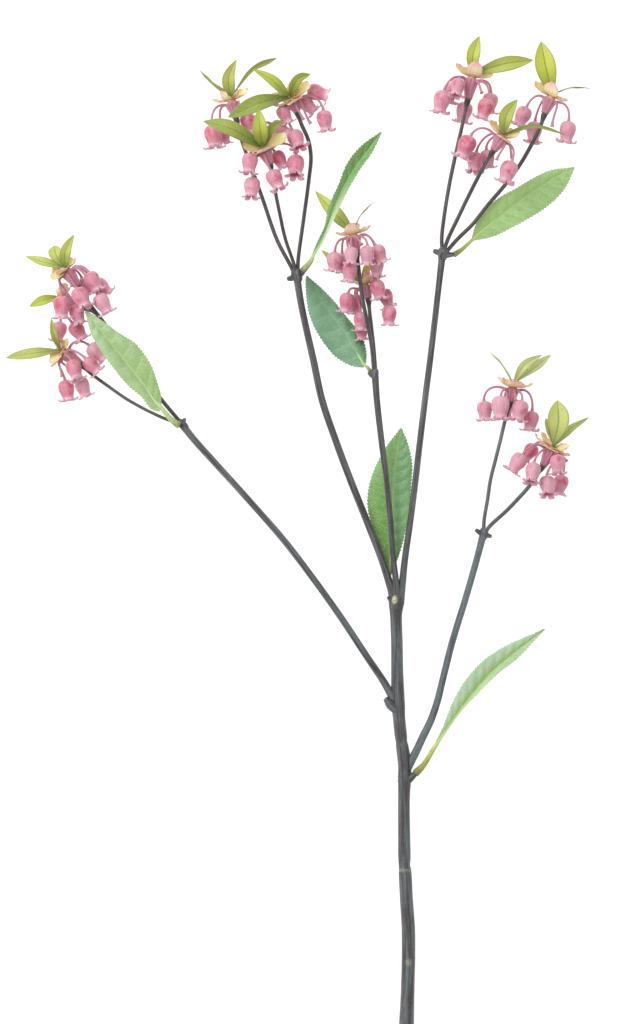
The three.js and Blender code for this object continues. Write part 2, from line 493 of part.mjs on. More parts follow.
/** A bell on its arched stalk, from the cone's side to the crown, mouth and inside of the cup. */
function stalkedBell(middle, mouth, size, top, axis) {
  const crown = middle.clone().addScaledVector(mouth, size * (BELL_CROWN - BELL_LENGTH / 2));
  const out = outwards(crown, top, axis);
  const start = top.clone().addScaledVector(axis, -PEDICEL_BELOW_TOP).addScaledVector(out, PEDICEL_INSET);
  const reach = start.distanceTo(crown);
  const arch = new THREE.CubicBezierCurve3(
    start,
    start.clone()
      .addScaledVector(out, PEDICEL_ARCH.outwards * reach)
      .addScaledVector(axis, PEDICEL_ARCH.upwards * reach),
    crown.clone().addScaledVector(mouth, -PEDICEL_ARCH.overCrown * reach),
    crown,
  ).getPoints(PEDICEL_STEPS);
  const stalk = carriedRings(arch, arch.map(() => PEDICEL_RADIUS), PEDICEL_SIDES);
  const across = stalk[PEDICEL_STEPS][0].clone().sub(crown).normalize();
  const beside = mouth.clone().cross(across);
  const cup = BELL_RINGS.map((corners) => Array.from({ length: corners.length * BELL_LOBES }, (_, j) => {
    const { along, radius } = corners[j % corners.length];
    const angle = (j / (corners.length * BELL_LOBES)) * 2 * Math.PI;
    return middle.clone()
      .addScaledVector(mouth, size * (along - BELL_LENGTH / 2))
      .addScaledVector(across, size * radius * Math.cos(angle))
      .addScaledVector(beside, size * radius * Math.sin(angle));
  }));
  return loft([...stalk, ...cup]);
}

/** The cone with its bells. */
function blossom(cluster) {
  const { foot, top, axis } = axisOf(cluster);
  const rings = carriedRings([foot, top], [CONE_RADIUS.foot, CONE_RADIUS.top], CONE_SIDES);
  rings[1].forEach((point, j) => point.lerp(top, j % 2 ? CONE_FLUTE : 0));
  const pieces = [loft(rings)];
  cluster.bells.forEach(([x, y, z, lean, tip, size]) => {
    const [side, forward] = [lean, tip].map(THREE.MathUtils.degToRad);
    const mouth = new THREE.Vector3(
      Math.sin(side) * Math.cos(forward), -Math.cos(side) * Math.cos(forward), Math.sin(forward),
    );
    pieces.push(stalkedBell(vector([x, y, z]), mouth, size, top, axis));
  });
  return joined(pieces);
}

/** A thin blade along a curve: a four-cornered section, as wide as the outline says at each step. */
function blade(curve, width, outline, side, cup, steps) {
  const rings = [];
  for (let i = 0; i <= steps; i += 1) {
    const t = i / steps;
    const centre = curve.getPoint(t);
    const forward = curve.getTangent(t);
    const across = side.clone().addScaledVector(forward, -side.dot(forward)).normalize();
    const face = across.clone().cross(forward);
    const half = Math.max(BLADE_TIP.halfWidth, (width / 2) * outline(t));
    const thick = (BLADE_THICKNESS / 2) * (i === steps ? BLADE_TIP.thinning : 1);
    rings.push([
      centre.clone().addScaledVector(across, -half).addScaledVector(face, cup * half),
      centre.clone().addScaledVector(face, thick),
      centre.clone().addScaledVector(across, half).addScaledVector(face, cup * half),
      centre.clone().addScaledVector(face, -thick),
    ]);
  }
  return loft(rings, spine);
}

const leafOutline = (t) => Math.sin(Math.PI * t ** 0.8) ** 0.85 + 0.12 * (1 - t);
const bractOutline = (t) => Math.sin(Math.PI * (0.12 + 0.8 * t)) ** 0.7;

/** The whorl: a short plug with cupped bracts standing out of it. */
function bracts(cluster) {
  const { top, axis } = axisOf(cluster);
  const low = top.clone().addScaledVector(axis, GAP);
  const high = low.clone().addScaledVector(axis, WHORL_HEIGHT);
  const middle = low.clone().lerp(high, BRACT_FOOT_AT);
  const pieces = [peg(low, high, WHORL_RADIUS.foot, WHORL_RADIUS.top, WHORL_SIDES)];
  for (const [x, y, z, width] of cluster.bracts) {
    const tip = vector([x, y, z]);
    const out = outwards(tip, middle, axis);
    const base = middle.clone().addScaledVector(out, BRACT_FOOT_OUT);
    const length = base.distanceTo(tip);
    const belly = base.clone().lerp(tip, BRACT_BELLY_AT)
      .addScaledVector(out, BRACT_SAG * length)
      .addScaledVector(axis, -BRACT_SAG * length);
    const side = axis.clone().cross(out);
    const curve = new THREE.QuadraticBezierCurve3(base, belly, tip);
    pieces.push(blade(curve, width, bractOutline, side, -BRACT_CUP, BRACT_STEPS));
  }
  return joined(pieces);
}

/** The new shoot: a small bud with its young leaves. */
function youngLeaves(cluster) {
  const { top, axis } = axisOf(cluster);
  const low = top.clone().addScaledVector(axis, 2 * GAP + WHORL_HEIGHT);
  const high = low.clone().addScaledVector(axis, SHOOT_HEIGHT);
  const middle = low.clone().lerp(high, LEAF_FOOT_AT);
  const pieces = [peg(low, high, SHOOT_RADIUS.foot, SHOOT_RADIUS.top, PETIOLE_SIDES)];
  for (const [midX, midY, midZ, x, y, z, width, roll] of cluster.leaves) {
    const bend = vector([midX, midY, midZ]);
    const out = outwards(bend, middle, axis);
    const base = middle.clone().addScaledVector(out, LEAF_FOOT_OUT);
    const tip = vector([x, y, z]);
    const forward = tip.clone().sub(base).normalize();
    const side = forward.clone().cross(UP).normalize();
    side.applyAxisAngle(forward, THREE.MathUtils.degToRad(roll));
    const curve = new THREE.CatmullRomCurve3([base, bend, tip], false, 'centripetal');
    pieces.push(blade(curve, width, leafOutline, side, LEAF_FOLD, LEAF_STEPS));
  }
  return joined(pieces);
}

/** A large leaf: a thin sheet between its edges and midrib, toothed, with its petiole. */
function bigLeaf({ petiole, left, middle, right }) {
  const [leftEdge, midrib, rightEdge] = [left, middle, right]
    .map((route) => new THREE.CatmullRomCurve3(route.map(vector), false, 'centripetal'));
  const rings = [];
  for (let i = 0; i <= BIG_LEAF_STEPS; i += 1) {
    const t = i / BIG_LEAF_STEPS;
    const centre = midrib.getPoint(t);
    const corners = [leftEdge.getPoint(t), rightEdge.getPoint(t)].map((corner) => {
      const inwards = centre.clone().sub(corner);
      const depth = i % 2 ? Math.min(TOOTH_DEPTH, TOOTH_SHARE * inwards.length()) : 0;
      return corner.addScaledVector(inwards.normalize(), depth);
    });
    const across = corners[1].clone().sub(corners[0]).normalize();
    const face = across.cross(midrib.getTangent(t)).normalize();
    const top = [corners[0], centre, corners[1]];
    const under = top.map((point) => point.clone().addScaledVector(face, -BIG_LEAF_THICKNESS));
    rings.push([...top, ...under.reverse()]);
  }
  const stalk = petiole.route.map((place) => [...place, petiole.radius]);
  return joined([loft(rings, spine), rod(stalk, PETIOLE_SIDES)]);
}

/** All the wood as one body. */
function stem() {
  const pieces = Object.values(WOOD).map(({ route, sides }) => rod(route, sides));
  for (const route of Object.values(TWIGS)) {
    const places = route.map((place) => [...place, TWIG_RADIUS]);
    pieces.push(rod(places, TWIG_SIDES));
  }
  for (const [from, to, radiusFrom, radiusTo] of STUBS) {
    pieces.push(peg(vector(from), vector(to), radiusFrom, radiusTo, STUB_SIDES));
  }
  return joined(pieces);
}

const branch = new THREE.Group();
branch.position.set(-MIDDLE_X, -MIDDLE_Y, 0);

function addMesh(name, geometry, color, roughness) {
  const material = new THREE.MeshStandardMaterial({ color, roughness, metalness: 0 });
  const mesh = new THREE.Mesh(geometry, material);
  mesh.name = name;
  branch.add(mesh);
}

addMesh('stem', stem(), COLOURS.stem, 0.7);
for (const [name, leaf] of Object.entries(BIG_LEAVES)) {
  addMesh(name, bigLeaf(leaf), COLOURS.bigLeaves, 0.55);
}
for (const [letter, cluster] of Object.entries(CLUSTERS)) {
  addMesh(`blossom_${letter}`, blossom(cluster), COLOURS.bells, 0.5);
  addMesh(`bracts_${letter}`, bracts(cluster), COLOURS.bracts, 0.6);
  addMesh(`young_leaves_${letter}`, youngLeaves(cluster), COLOURS.youngLeaves, 0.5);
}

export default branch;
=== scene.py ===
"""A flowering enkianthus branch, cut and laid flat: its looks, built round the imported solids.

Places are in millimetres as on the part's drawing: x to the right, y along the branch from its cut
end, z above the surface that it lies on. They turn into metres in the frame when a mesh is made.
"""

import bpy
import numpy as np
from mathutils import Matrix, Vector


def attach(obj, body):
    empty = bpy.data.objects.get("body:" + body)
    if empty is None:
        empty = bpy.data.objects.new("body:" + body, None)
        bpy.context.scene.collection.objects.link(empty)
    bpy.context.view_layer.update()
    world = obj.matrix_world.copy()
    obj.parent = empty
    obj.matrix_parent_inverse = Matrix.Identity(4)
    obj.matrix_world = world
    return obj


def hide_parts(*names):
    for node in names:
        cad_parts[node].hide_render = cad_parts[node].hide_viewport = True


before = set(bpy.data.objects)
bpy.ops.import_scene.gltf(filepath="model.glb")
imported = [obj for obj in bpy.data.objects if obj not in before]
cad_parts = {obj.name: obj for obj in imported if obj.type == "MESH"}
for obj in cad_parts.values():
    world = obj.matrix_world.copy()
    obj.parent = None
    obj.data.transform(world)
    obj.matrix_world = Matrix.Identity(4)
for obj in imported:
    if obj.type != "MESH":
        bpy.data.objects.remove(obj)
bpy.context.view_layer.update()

METRES = 0.001
MIDDLE = np.array([149.0, 246.5, 0.0])
UP = np.array([0.0, 0.0, 1.0])

# Woody stem: main axis and branches as x, y, z, radius
WOOD = {
    "main": [[202.9, -1, 3.7, 3.7], [203.2, 6, 3.5, 3.5], [203.6, 18, 3.5, 3.3], [204, 34, 3.7, 3.3],
        [203.9, 48, 4.1, 3.3], [203, 62, 4.6, 3.25], [202.3, 76, 5, 3.2], [202, 79, 5.1, 2.9],
        [202, 82, 5.2, 3.15], [201.8, 97, 5.8, 3.1], [201.7, 112, 6.4, 3.05], [202, 122, 6.8, 3.3],
        [202, 130, 7.1, 3.4], [200.8, 139, 7.5, 3.1], [200.5, 141, 7.6, 2.85], [200.3, 143, 7.7, 3.05],
        [199.2, 154, 8.2, 3.1], [198.8, 162, 8.5, 3.3], [198.4, 176, 9.2, 3], [198.2, 192, 10, 2.9],
        [197.8, 204, 10.8, 3], [198, 211, 11.2, 3.7], [198.2, 214, 11.4, 3]],
    "left": [[198.5, 158, 8.6, 2.2], [195, 165, 9, 2], [191, 172, 9.6, 1.85], [184.2, 182, 10.5, 1.8],
        [171, 202, 12.2, 1.75], [156.8, 222, 13.8, 1.7], [141.5, 242, 15.3, 1.7], [124, 262, 17, 1.65],
        [105.7, 282.2, 18.6, 1.7], [97.5, 291.3, 19.5, 1.75], [91.4, 298.8, 20, 1.85]],
    "upperLeft": [[197.8, 210, 11.2, 2.3], [194.4, 221, 12, 2], [190.8, 232, 12.8, 1.85],
        [183, 252, 14.4, 1.8], [175, 272, 16, 1.8], [167.5, 292, 17.6, 1.75], [160.8, 312, 19.2, 1.75],
        [156.5, 332, 20.8, 1.75], [152, 352, 22.4, 1.7], [150, 362, 23.2, 1.75], [148.2, 374, 24, 1.9]],
    "middle": [[198.2, 210, 12, 2], [197.6, 222, 13.4, 1.65], [196.5, 232, 14, 1.5], [195, 252, 15.2, 1.5],
        [193, 272, 16.5, 1.5], [190.5, 292, 17.8, 1.6], [188.2, 312, 19.2, 1.65], [187.2, 325, 20, 1.75]],
    "upperRight": [[199.6, 210, 11.2, 2.2], [201, 221, 12, 1.8], [202.2, 232, 12.8, 1.65],
        [205, 252, 14.2, 1.6], [207.5, 272, 15.6, 1.6], [209.8, 292, 17, 1.6], [212.2, 312, 18.4, 1.6],
        [214.8, 332, 19.6, 1.6], [217.2, 352, 20.8, 1.6], [219.5, 372, 21.6, 1.6], [221, 385, 22, 1.9]],
    "right": [[202.4, 125, 7, 2.2], [205.2, 130.5, 7.4, 2], [208, 136, 8, 1.95], [211.2, 143, 8.8, 1.9],
        [215.5, 152, 9.8, 1.8], [218.8, 162, 10.8, 1.75], [221.2, 172, 11.8, 1.7], [226.2, 192, 13.8, 1.72],
        [232.3, 212, 15.6, 1.72], [238, 232, 17.2, 1.75], [241.4, 245, 18, 1.9]],
}

# Twigs that carry the clusters: their routes, thinner than the branches
TWIG_RADIUS = 1.0
THIN_TWIG = {"L": 0.84, "C": 0.93, "G": 0.95}
TWIGS = {
    "A": [[147.3, 374, 24], [145.5, 378, 24], [138.2, 392, 23.2], [131.2, 412, 22], [124.8, 430, 21],
        [120.5, 442, 20.4], [118, 452.2, 20]],
    "B": [[148.6, 374, 24.5], [148.8, 382, 25], [151.5, 402, 26.4], [154.2, 422, 27.8], [155.2, 433, 28.5],
        [153.9, 441.5, 29.2], [150.6, 449.1, 29.8], [148.4, 455.2, 30]],
    "C": [[148, 374, 25], [146.6, 380, 27], [142.5, 392, 31], [139.4, 406, 35], [136.8, 419, 38.4],
        [135, 428.6, 40]],
    "D": [[221, 385, 22], [220.5, 392, 21.6], [221.5, 402, 20.4], [224.8, 422, 18.2], [229.2, 442, 16],
        [233.6, 461.8, 14]],
    "E": [[221.2, 385, 22.5], [223.5, 392, 24.8], [228.2, 402, 28], [233, 412, 30.8], [238, 422, 33.4],
        [242.6, 430.6, 35.2], [245.8, 435.6, 36]],
    "F": [[221.6, 384.5, 22], [228.3, 392.2, 21.4], [236.1, 399.9, 21], [243.9, 409.7, 20.8],
        [252.9, 420.3, 20.8], [259.8, 429.8, 21.2], [266.2, 441, 21.7], [270, 449, 22], [271.8, 454.6, 22]],
    "G": [[241.5, 245, 18], [241.8, 252, 18], [243.5, 262, 18], [245, 272, 17.8], [247.5, 282, 17.6],
        [250, 292, 17.4], [252.4, 302, 17.6], [255.1, 310.6, 18]],
    "H": [[241.8, 245, 18], [244.8, 249, 17.2], [253, 256.5, 15.4], [258.8, 262.5, 14], [265, 269.5, 12.6],
        [271.2, 278.6, 11]],
    "I": [[186.8, 325, 20.4], [185.4, 339.5, 23.4], [183.2, 351, 26], [180.8, 363, 28], [179, 377.5, 29.8],
        [178.1, 385.4, 30]],
    "J": [[187.6, 325, 20], [186.4, 339.5, 19.4], [185.2, 350, 19], [183.9, 362.4, 19]],
    "K": [[90.8, 300, 20.4], [81.5, 311, 21.4], [66, 331.5, 22.6], [51.5, 351, 23.6], [45.5, 358.8, 24],
        [39.3, 368, 24]],
    "L": [[90.6, 300, 19.6], [81.2, 303.1, 17.8], [64.7, 311.5, 14.4], [53.7, 319, 12.6],
        [43.8, 326.3, 11.4], [40.3, 329.6, 11]],
    "M": [[49, 354, 23.8], [46, 356.4, 19], [42, 357.6, 14.4], [37.9, 358.4, 12.1]],
}

# Swellings at the nodes, and the short stubs and old bud scales on them: from, to, radii
STUBS = [
    [[93, 297.6, 20], [89.8, 301.2, 20.2], 2.3, 1.9],
    [[91.4, 300.4, 21], [92.2, 302.4, 22.2], 1.3, 0.9],
    [[148.8, 371, 24], [147.8, 376.4, 24.4], 2.9, 2.7],
    [[148, 373.4, 24], [143.8, 372.4, 24.6], 1.9, 1.2],
    [[148.4, 373.6, 24], [151.4, 375.6, 24.4], 2, 1.2],
    [[187.3, 322.4, 20], [187.2, 326.8, 20.4], 2, 1.9],
    [[187.2, 323, 20], [184.2, 325.6, 20], 1.5, 1],
    [[220.6, 382, 22], [221.4, 387, 22.2], 2.7, 2.6],
    [[221, 385, 22], [216.8, 386.4, 22.4], 1.7, 1.2],
    [[221, 384, 22], [226, 384.6, 22.6], 1.8, 1.2],
    [[241, 242.4, 17.8], [242, 247, 18], 2.4, 2.3],
    [[241.4, 244.6, 18], [237.8, 247, 18.4], 1.5, 1],
    [[241.6, 244.6, 18], [245.2, 243.8, 18.2], 1.5, 1],
    [[198, 157, 8.6], [192.9, 162.2, 10.2], 3.9, 1.7],
    [[202.4, 120.8, 7], [207.2, 124.6, 7.6], 2.9, 1.6],
    [[198, 209, 11.6], [194, 213.4, 12.6], 1.7, 1.1],
    [[198.2, 211, 12.4], [197, 212.6, 15], 1.5, 1.2],
]

# Clusters. The cone runs from its foot to its top.
# bells: middle x, y, z, then lean to the right from straight down and tip towards the viewer in
# degrees, then size. bracts: tip x, y, z, width. leaves: mid x, y, z, tip x, y, z, width, roll, then
# age from 0, bright yellow-green, to 1, dark olive, and the share of the length where it is widest.
CLUSTERS = {
    "A": {
        "cone": [[117.9, 452.8, 20], [115.8, 460.6, 20.5]],
        "bells": [[106.6, 443.6, 25, 8, 5, 1.1], [124.4, 450.6, 14, 28, 0, 1],
            [111.2, 445, 16, 12, 0, 0.95]],
        "bracts": [[123.5, 468, 21, 6.5], [110.5, 466.4, 25, 5.7], [105.5, 462.4, 18.6, 3.4],
            [117.6, 467.4, 13.5, 6.5]],
        "leaves": [[104.8, 470.8, 22, 99.2, 477.2, 21, 3.4, 60, 0.9, 0.3],
            [114, 473, 24, 118, 482, 24, 6, 10, 0.35, 0.4],
            [126.4, 477.8, 21, 138.2, 483, 19, 3.4, 38, 0.7, 0.66]],
    },
    "B": {
        "cone": [[148.4, 455.7, 30.1], [145.8, 460.4, 31]],
        "bells": [[158.6, 465.4, 25.4, 72, 0, 1], [153.4, 459.2, 25, 48, 0, 0.95],
            [162.2, 451.2, 29, 8, 0, 1], [142, 454, 33, 28, 0, 0.88], [147.9, 441.5, 35.6, 22, 25, 1]],
        "bracts": [[136, 465, 33, 5.7], [145.6, 471.4, 26.5, 7.8], [153.4, 471, 31, 10.4],
            [136.8, 458.6, 37.6, 6], [148, 461.4, 39.4, 9.1]],
        "leaves": [[135.8, 471.2, 35, 126.2, 476.8, 34, 5, 10, 0.35, 0.42],
            [148.8, 472, 36, 155, 474.2, 34, 5, 25, 0.6, 0.42],
            [130, 459.5, 43.6, 113.8, 452.6, 37, 8, 12, 0.95, 0.58]],
    },
    "C": {
        "cone": [[134.9, 429.1, 40.1], [132.2, 435.4, 42]],
        "bells": [[124.8, 429.4, 45, -5, 10, 1], [125.8, 417.3, 43, -5, 15, 1],
            [137.4, 421.2, 45.5, 25, 10, 1], [147.6, 428.2, 37, -4, 27, 1.12],
            [139.4, 431.6, 34, 30, 0, 0.9], [139.6, 447, 31.2, 60, 0, 0.95]],
        "bracts": [[121.5, 440.4, 44, 9.1], [126.6, 445.4, 38, 7.8], [142, 445, 41, 7.8],
            [131.8, 436.6, 51, 10.4]],
        "leaves": [[115, 446.6, 49.6, 101.6, 450.4, 45, 7.4, 12, 0.85, 0.48],
            [129.8, 447.4, 51, 129.4, 456.4, 50, 7, 0, 0.3, 0.45],
            [134.8, 446.4, 46.6, 142, 451, 44, 5, 28, 0.8, 0.42]],
    },
    "D": {
        "cone": [[233.8, 462.4, 14], [235.6, 472.6, 14.8]],
        "bells": [[220.6, 461.2, 17, -14, 0, 1.1], [224.8, 465.6, 9.5, -10, 0, 0.95],
            [228.4, 468, 21, -10, 20, 0.9], [242.2, 457.5, 18, -18, 0, 1], [231.9, 456.3, 4.96, -12, 0, 1],
            [244.8, 460.9, 9.5, -6, 0, 0.95]],
        "bracts": [[227.8, 480.6, 16, 6], [238, 481.4, 20.5, 8.6], [246.4, 475.6, 13, 5.2],
            [234, 479, 7.5, 7.8]],
        "leaves": [[236.4, 485.6, 17, 239.4, 494, 17, 6.4, 10, 0, 0.48],
            [252.8, 480.4, 16.6, 266.4, 482, 16, 7.2, 15, 0.3, 0.52]],
    },
    "E": {
        "cone": [[246.1, 436.1, 36.1], [250, 442, 37]],
        "bells": [[232.4, 438, 37, -24, 0, 1.12], [237, 430.4, 28.5, -8, 15, 1],
            [243.4, 432.2, 26.5, 8, 0, 0.9], [253.4, 425.4, 38.5, -20, 5, 1.08]],
        "bracts": [[244.6, 451.6, 37, 7], [252.4, 441.6, 46.4, 8.3], [259.4, 445.6, 38, 9],
            [252.8, 449, 30, 7.8]],
        "leaves": [[252.4, 453.6, 40.5, 258, 461.4, 40, 6.6, 10, 0.35, 0.5],
            [266, 448.4, 42, 283.4, 443.4, 38, 2.8, 50, 0.8, 0.4]],
    },
    "F": {
        "cone": [[272, 455.1, 22], [274.8, 462.4, 23]],
        "bells": [[260.8, 453.6, 23, -24, 0, 1], [266.8, 446.2, 13.5, -6, 10, 1],
            [283.2, 445.8, 23.5, -8, 0, 1.05]],
        "bracts": [[267.4, 471.4, 22, 6], [276, 470.6, 28.2, 8.6], [283.8, 461.6, 24, 5.2],
            [273, 468.4, 15.5, 6.5]],
        "leaves": [[272.2, 479.4, 25, 270.1, 491, 24, 9.8, 0, 0.05, 0.5],
            [286, 468.2, 23, 295.6, 467.6, 21, 2.2, 80, 1, 0.4]],
    },
    "G": {
        "cone": [[255.2, 311.1, 18], [255.9, 317.6, 19]],
        "bells": [[242, 306.6, 18.5, 4, 0, 0.95], [249.8, 308.2, 25.5, -2, 5, 1.12],
            [252.6, 307.6, 11.5, 4, 0, 0.95], [259.4, 306.8, 24, -14, 5, 1],
            [265.2, 301.6, 15.5, -8, 0, 0.95]],
        "bracts": [[248.6, 323.6, 19, 6.5], [258, 321.6, 27.6, 10.4], [263.6, 319, 21, 5.2],
            [266.4, 320.4, 13.4, 3.4], [254, 322.6, 12, 7.8]],
        "leaves": [[250.4, 329.6, 20.5, 244, 336.4, 20, 2.6, 70, 0.9, 0.4],
            [262, 329.6, 23.5, 270.8, 334.6, 23, 4.2, 15, 0.3, 0.5],
            [267, 328.1, 18, 275.4, 334.8, 16, 4, -10, 0.5, 0.6]],
    },
    "H": {
        "cone": [[271.4, 279.1, 11], [275.4, 286.8, 12]],
        "bells": [[258.4, 280.6, 14.5, -34, 0, 1], [264.8, 286, 7, -36, 0, 0.9],
            [266, 275.6, 19.5, -8, 20, 1], [278.6, 279.8, 17.5, 0, 10, 0.95], [273.6, 269, 15, 4, 25, 1],
            [280.2, 269.7, 5, -14, 0, 0.95]],
        "bracts": [[271, 296.2, 7.5, 6.5], [267.4, 295.4, 14, 3.6], [274, 288.6, 20, 10.4],
            [284.6, 289.4, 14, 7.3], [285.4, 284.4, 8.4, 4.7]],
        "leaves": [[278.9, 300.6, 17, 278.5, 312, 16, 10.4, 0, 0.25, 0.6],
            [274, 297.4, 16.5, 272.6, 303, 16, 3.6, 30, 0.5, 0.6],
            [284.3, 297.5, 14, 294.4, 303.5, 12, 4.4, 40, 0.3, 0.5]],
    },
    "I": {
        "cone": [[178, 385.9, 30.1], [176.4, 393.4, 31]],
        "bells": [[166.8, 381, 28.5, -4, -8, 0.92], [171.2, 380.4, 21, 4, 0, 0.9],
            [175.2, 383.6, 38, 0, 10, 0.85], [174.4, 375.4, 33, -6, 0, 0.95], [183.2, 384, 36, -2, -6, 0.9],
            [189.2, 384.8, 30, 24, -6, 0.9], [188, 378.2, 25, 0, 0, 0.9]],
        "bracts": [[174.8, 399.8, 38.4, 8], [185, 399, 31, 5.2], [167.4, 395.4, 30, 3.9],
            [176, 400.4, 23.6, 7.8]],
        "leaves": [[166.2, 406, 32.5, 157.4, 416, 30, 6.6, 10, 0.1, 0.45],
            [180.6, 405, 32, 187, 411, 31, 1.9, 80, 1, 0.4]],
    },
    "J": {
        "cone": [[183.8, 362.9, 19], [182.1, 368.6, 19.4]],
        "bells": [[173, 360.6, 22, -10, 0, 0.95], [178, 360, 13.5, -2, 0, 0.95],
            [180, 351.2, 20, 0, 0, 0.85], [180.6, 346.6, 13, 4, 0, 0.85], [188.8, 367, 24.2, 12, 0, 0.92],
            [193, 363, 16, 18, 0, 0.9], [194.2, 354.2, 20.5, 0, 0, 0.95]],
        "bracts": [[183, 376.4, 23.6, 7], [174.8, 373, 20.6, 5.2], [190.4, 374.6, 18, 5.2],
            [179, 375.4, 12.6, 6.5]],
        "leaves": [[169.4, 379.8, 14.6, 160.4, 387, 13, 5.8, 10, 0.05, 0.4],
            [183, 377.4, 19.6, 184.6, 381.6, 19.6, 3.6, 0, 0.1, 0.45]],
    },
    "K": {
        "cone": [[39, 368.5, 24], [33.6, 376, 25]],
        "bells": [[30.8, 358.2, 28, 0, 0, 1.05], [38.4, 354.8, 22.5, 18, 0, 0.95],
            [40.6, 362.8, 30.5, 26, 10, 1.05], [46.6, 371, 27.5, 26, 0, 1], [50.8, 368.4, 19, 48, 0, 0.95],
            [51.4, 360, 28.5, 30, 0, 1], [42.2, 368.8, 16.5, 20, 0, 0.85]],
        "bracts": [[25, 374, 28, 9.4], [35, 383.2, 25, 6.6], [37.6, 383, 19.6, 4.4], [29, 376.6, 33, 6.5]],
        "leaves": [[20.8, 381, 27, 12.8, 383.6, 26, 4.4, 25, 0.2, 0.45],
            [28, 384.4, 27, 27, 389, 24, 6.4, 0, 0.3, 0.6],
            [32.9, 386.8, 30, 37, 394.4, 29, 5.2, 20, 0.15, 0.42]],
    },
    "L": {
        "cone": [[40.1, 330, 11], [32, 335.6, 12]],
        "bells": [[32.8, 317, 4.96, 10, 0, 1], [41, 318.4, 12.5, 20, 0, 0.95], [37, 327, 20, 20, 12, 1],
            [45.8, 329.4, 18.5, 44, 0, 0.9], [48, 336, 13.5, 48, 0, 1]],
        "bracts": [[24, 331.4, 14.5, 9.4], [33, 343, 13.5, 6.5], [24.6, 328.6, 8, 3.6],
            [29, 342, 5.5, 6.5]],
        "leaves": [[15.8, 335.3, 14.5, 2.4, 333.2, 11, 5.3, 15, 0.5, 0.55],
            [26.4, 345.4, 20, 25.4, 353, 20, 3.6, 30, 0.25, 0.45]],
    },
    "M": {
        "cone": [[37.2, 358.8, 12], [31.6, 362.4, 12]],
        "bells": [[29, 346.4, 11, -10, 0, 0.95], [38.6, 346.5, 15.2, 34, 0, 0.95]],
        "bracts": [[30, 370, 14.6, 8.2], [34.6, 368.6, 8, 3.9], [25.6, 362, 15.6, 5.2]],
        "leaves": [[20.6, 361.7, 13.4, 14.4, 358.9, 12, 4.6, 10, 0.3, 0.5]],
    },
}

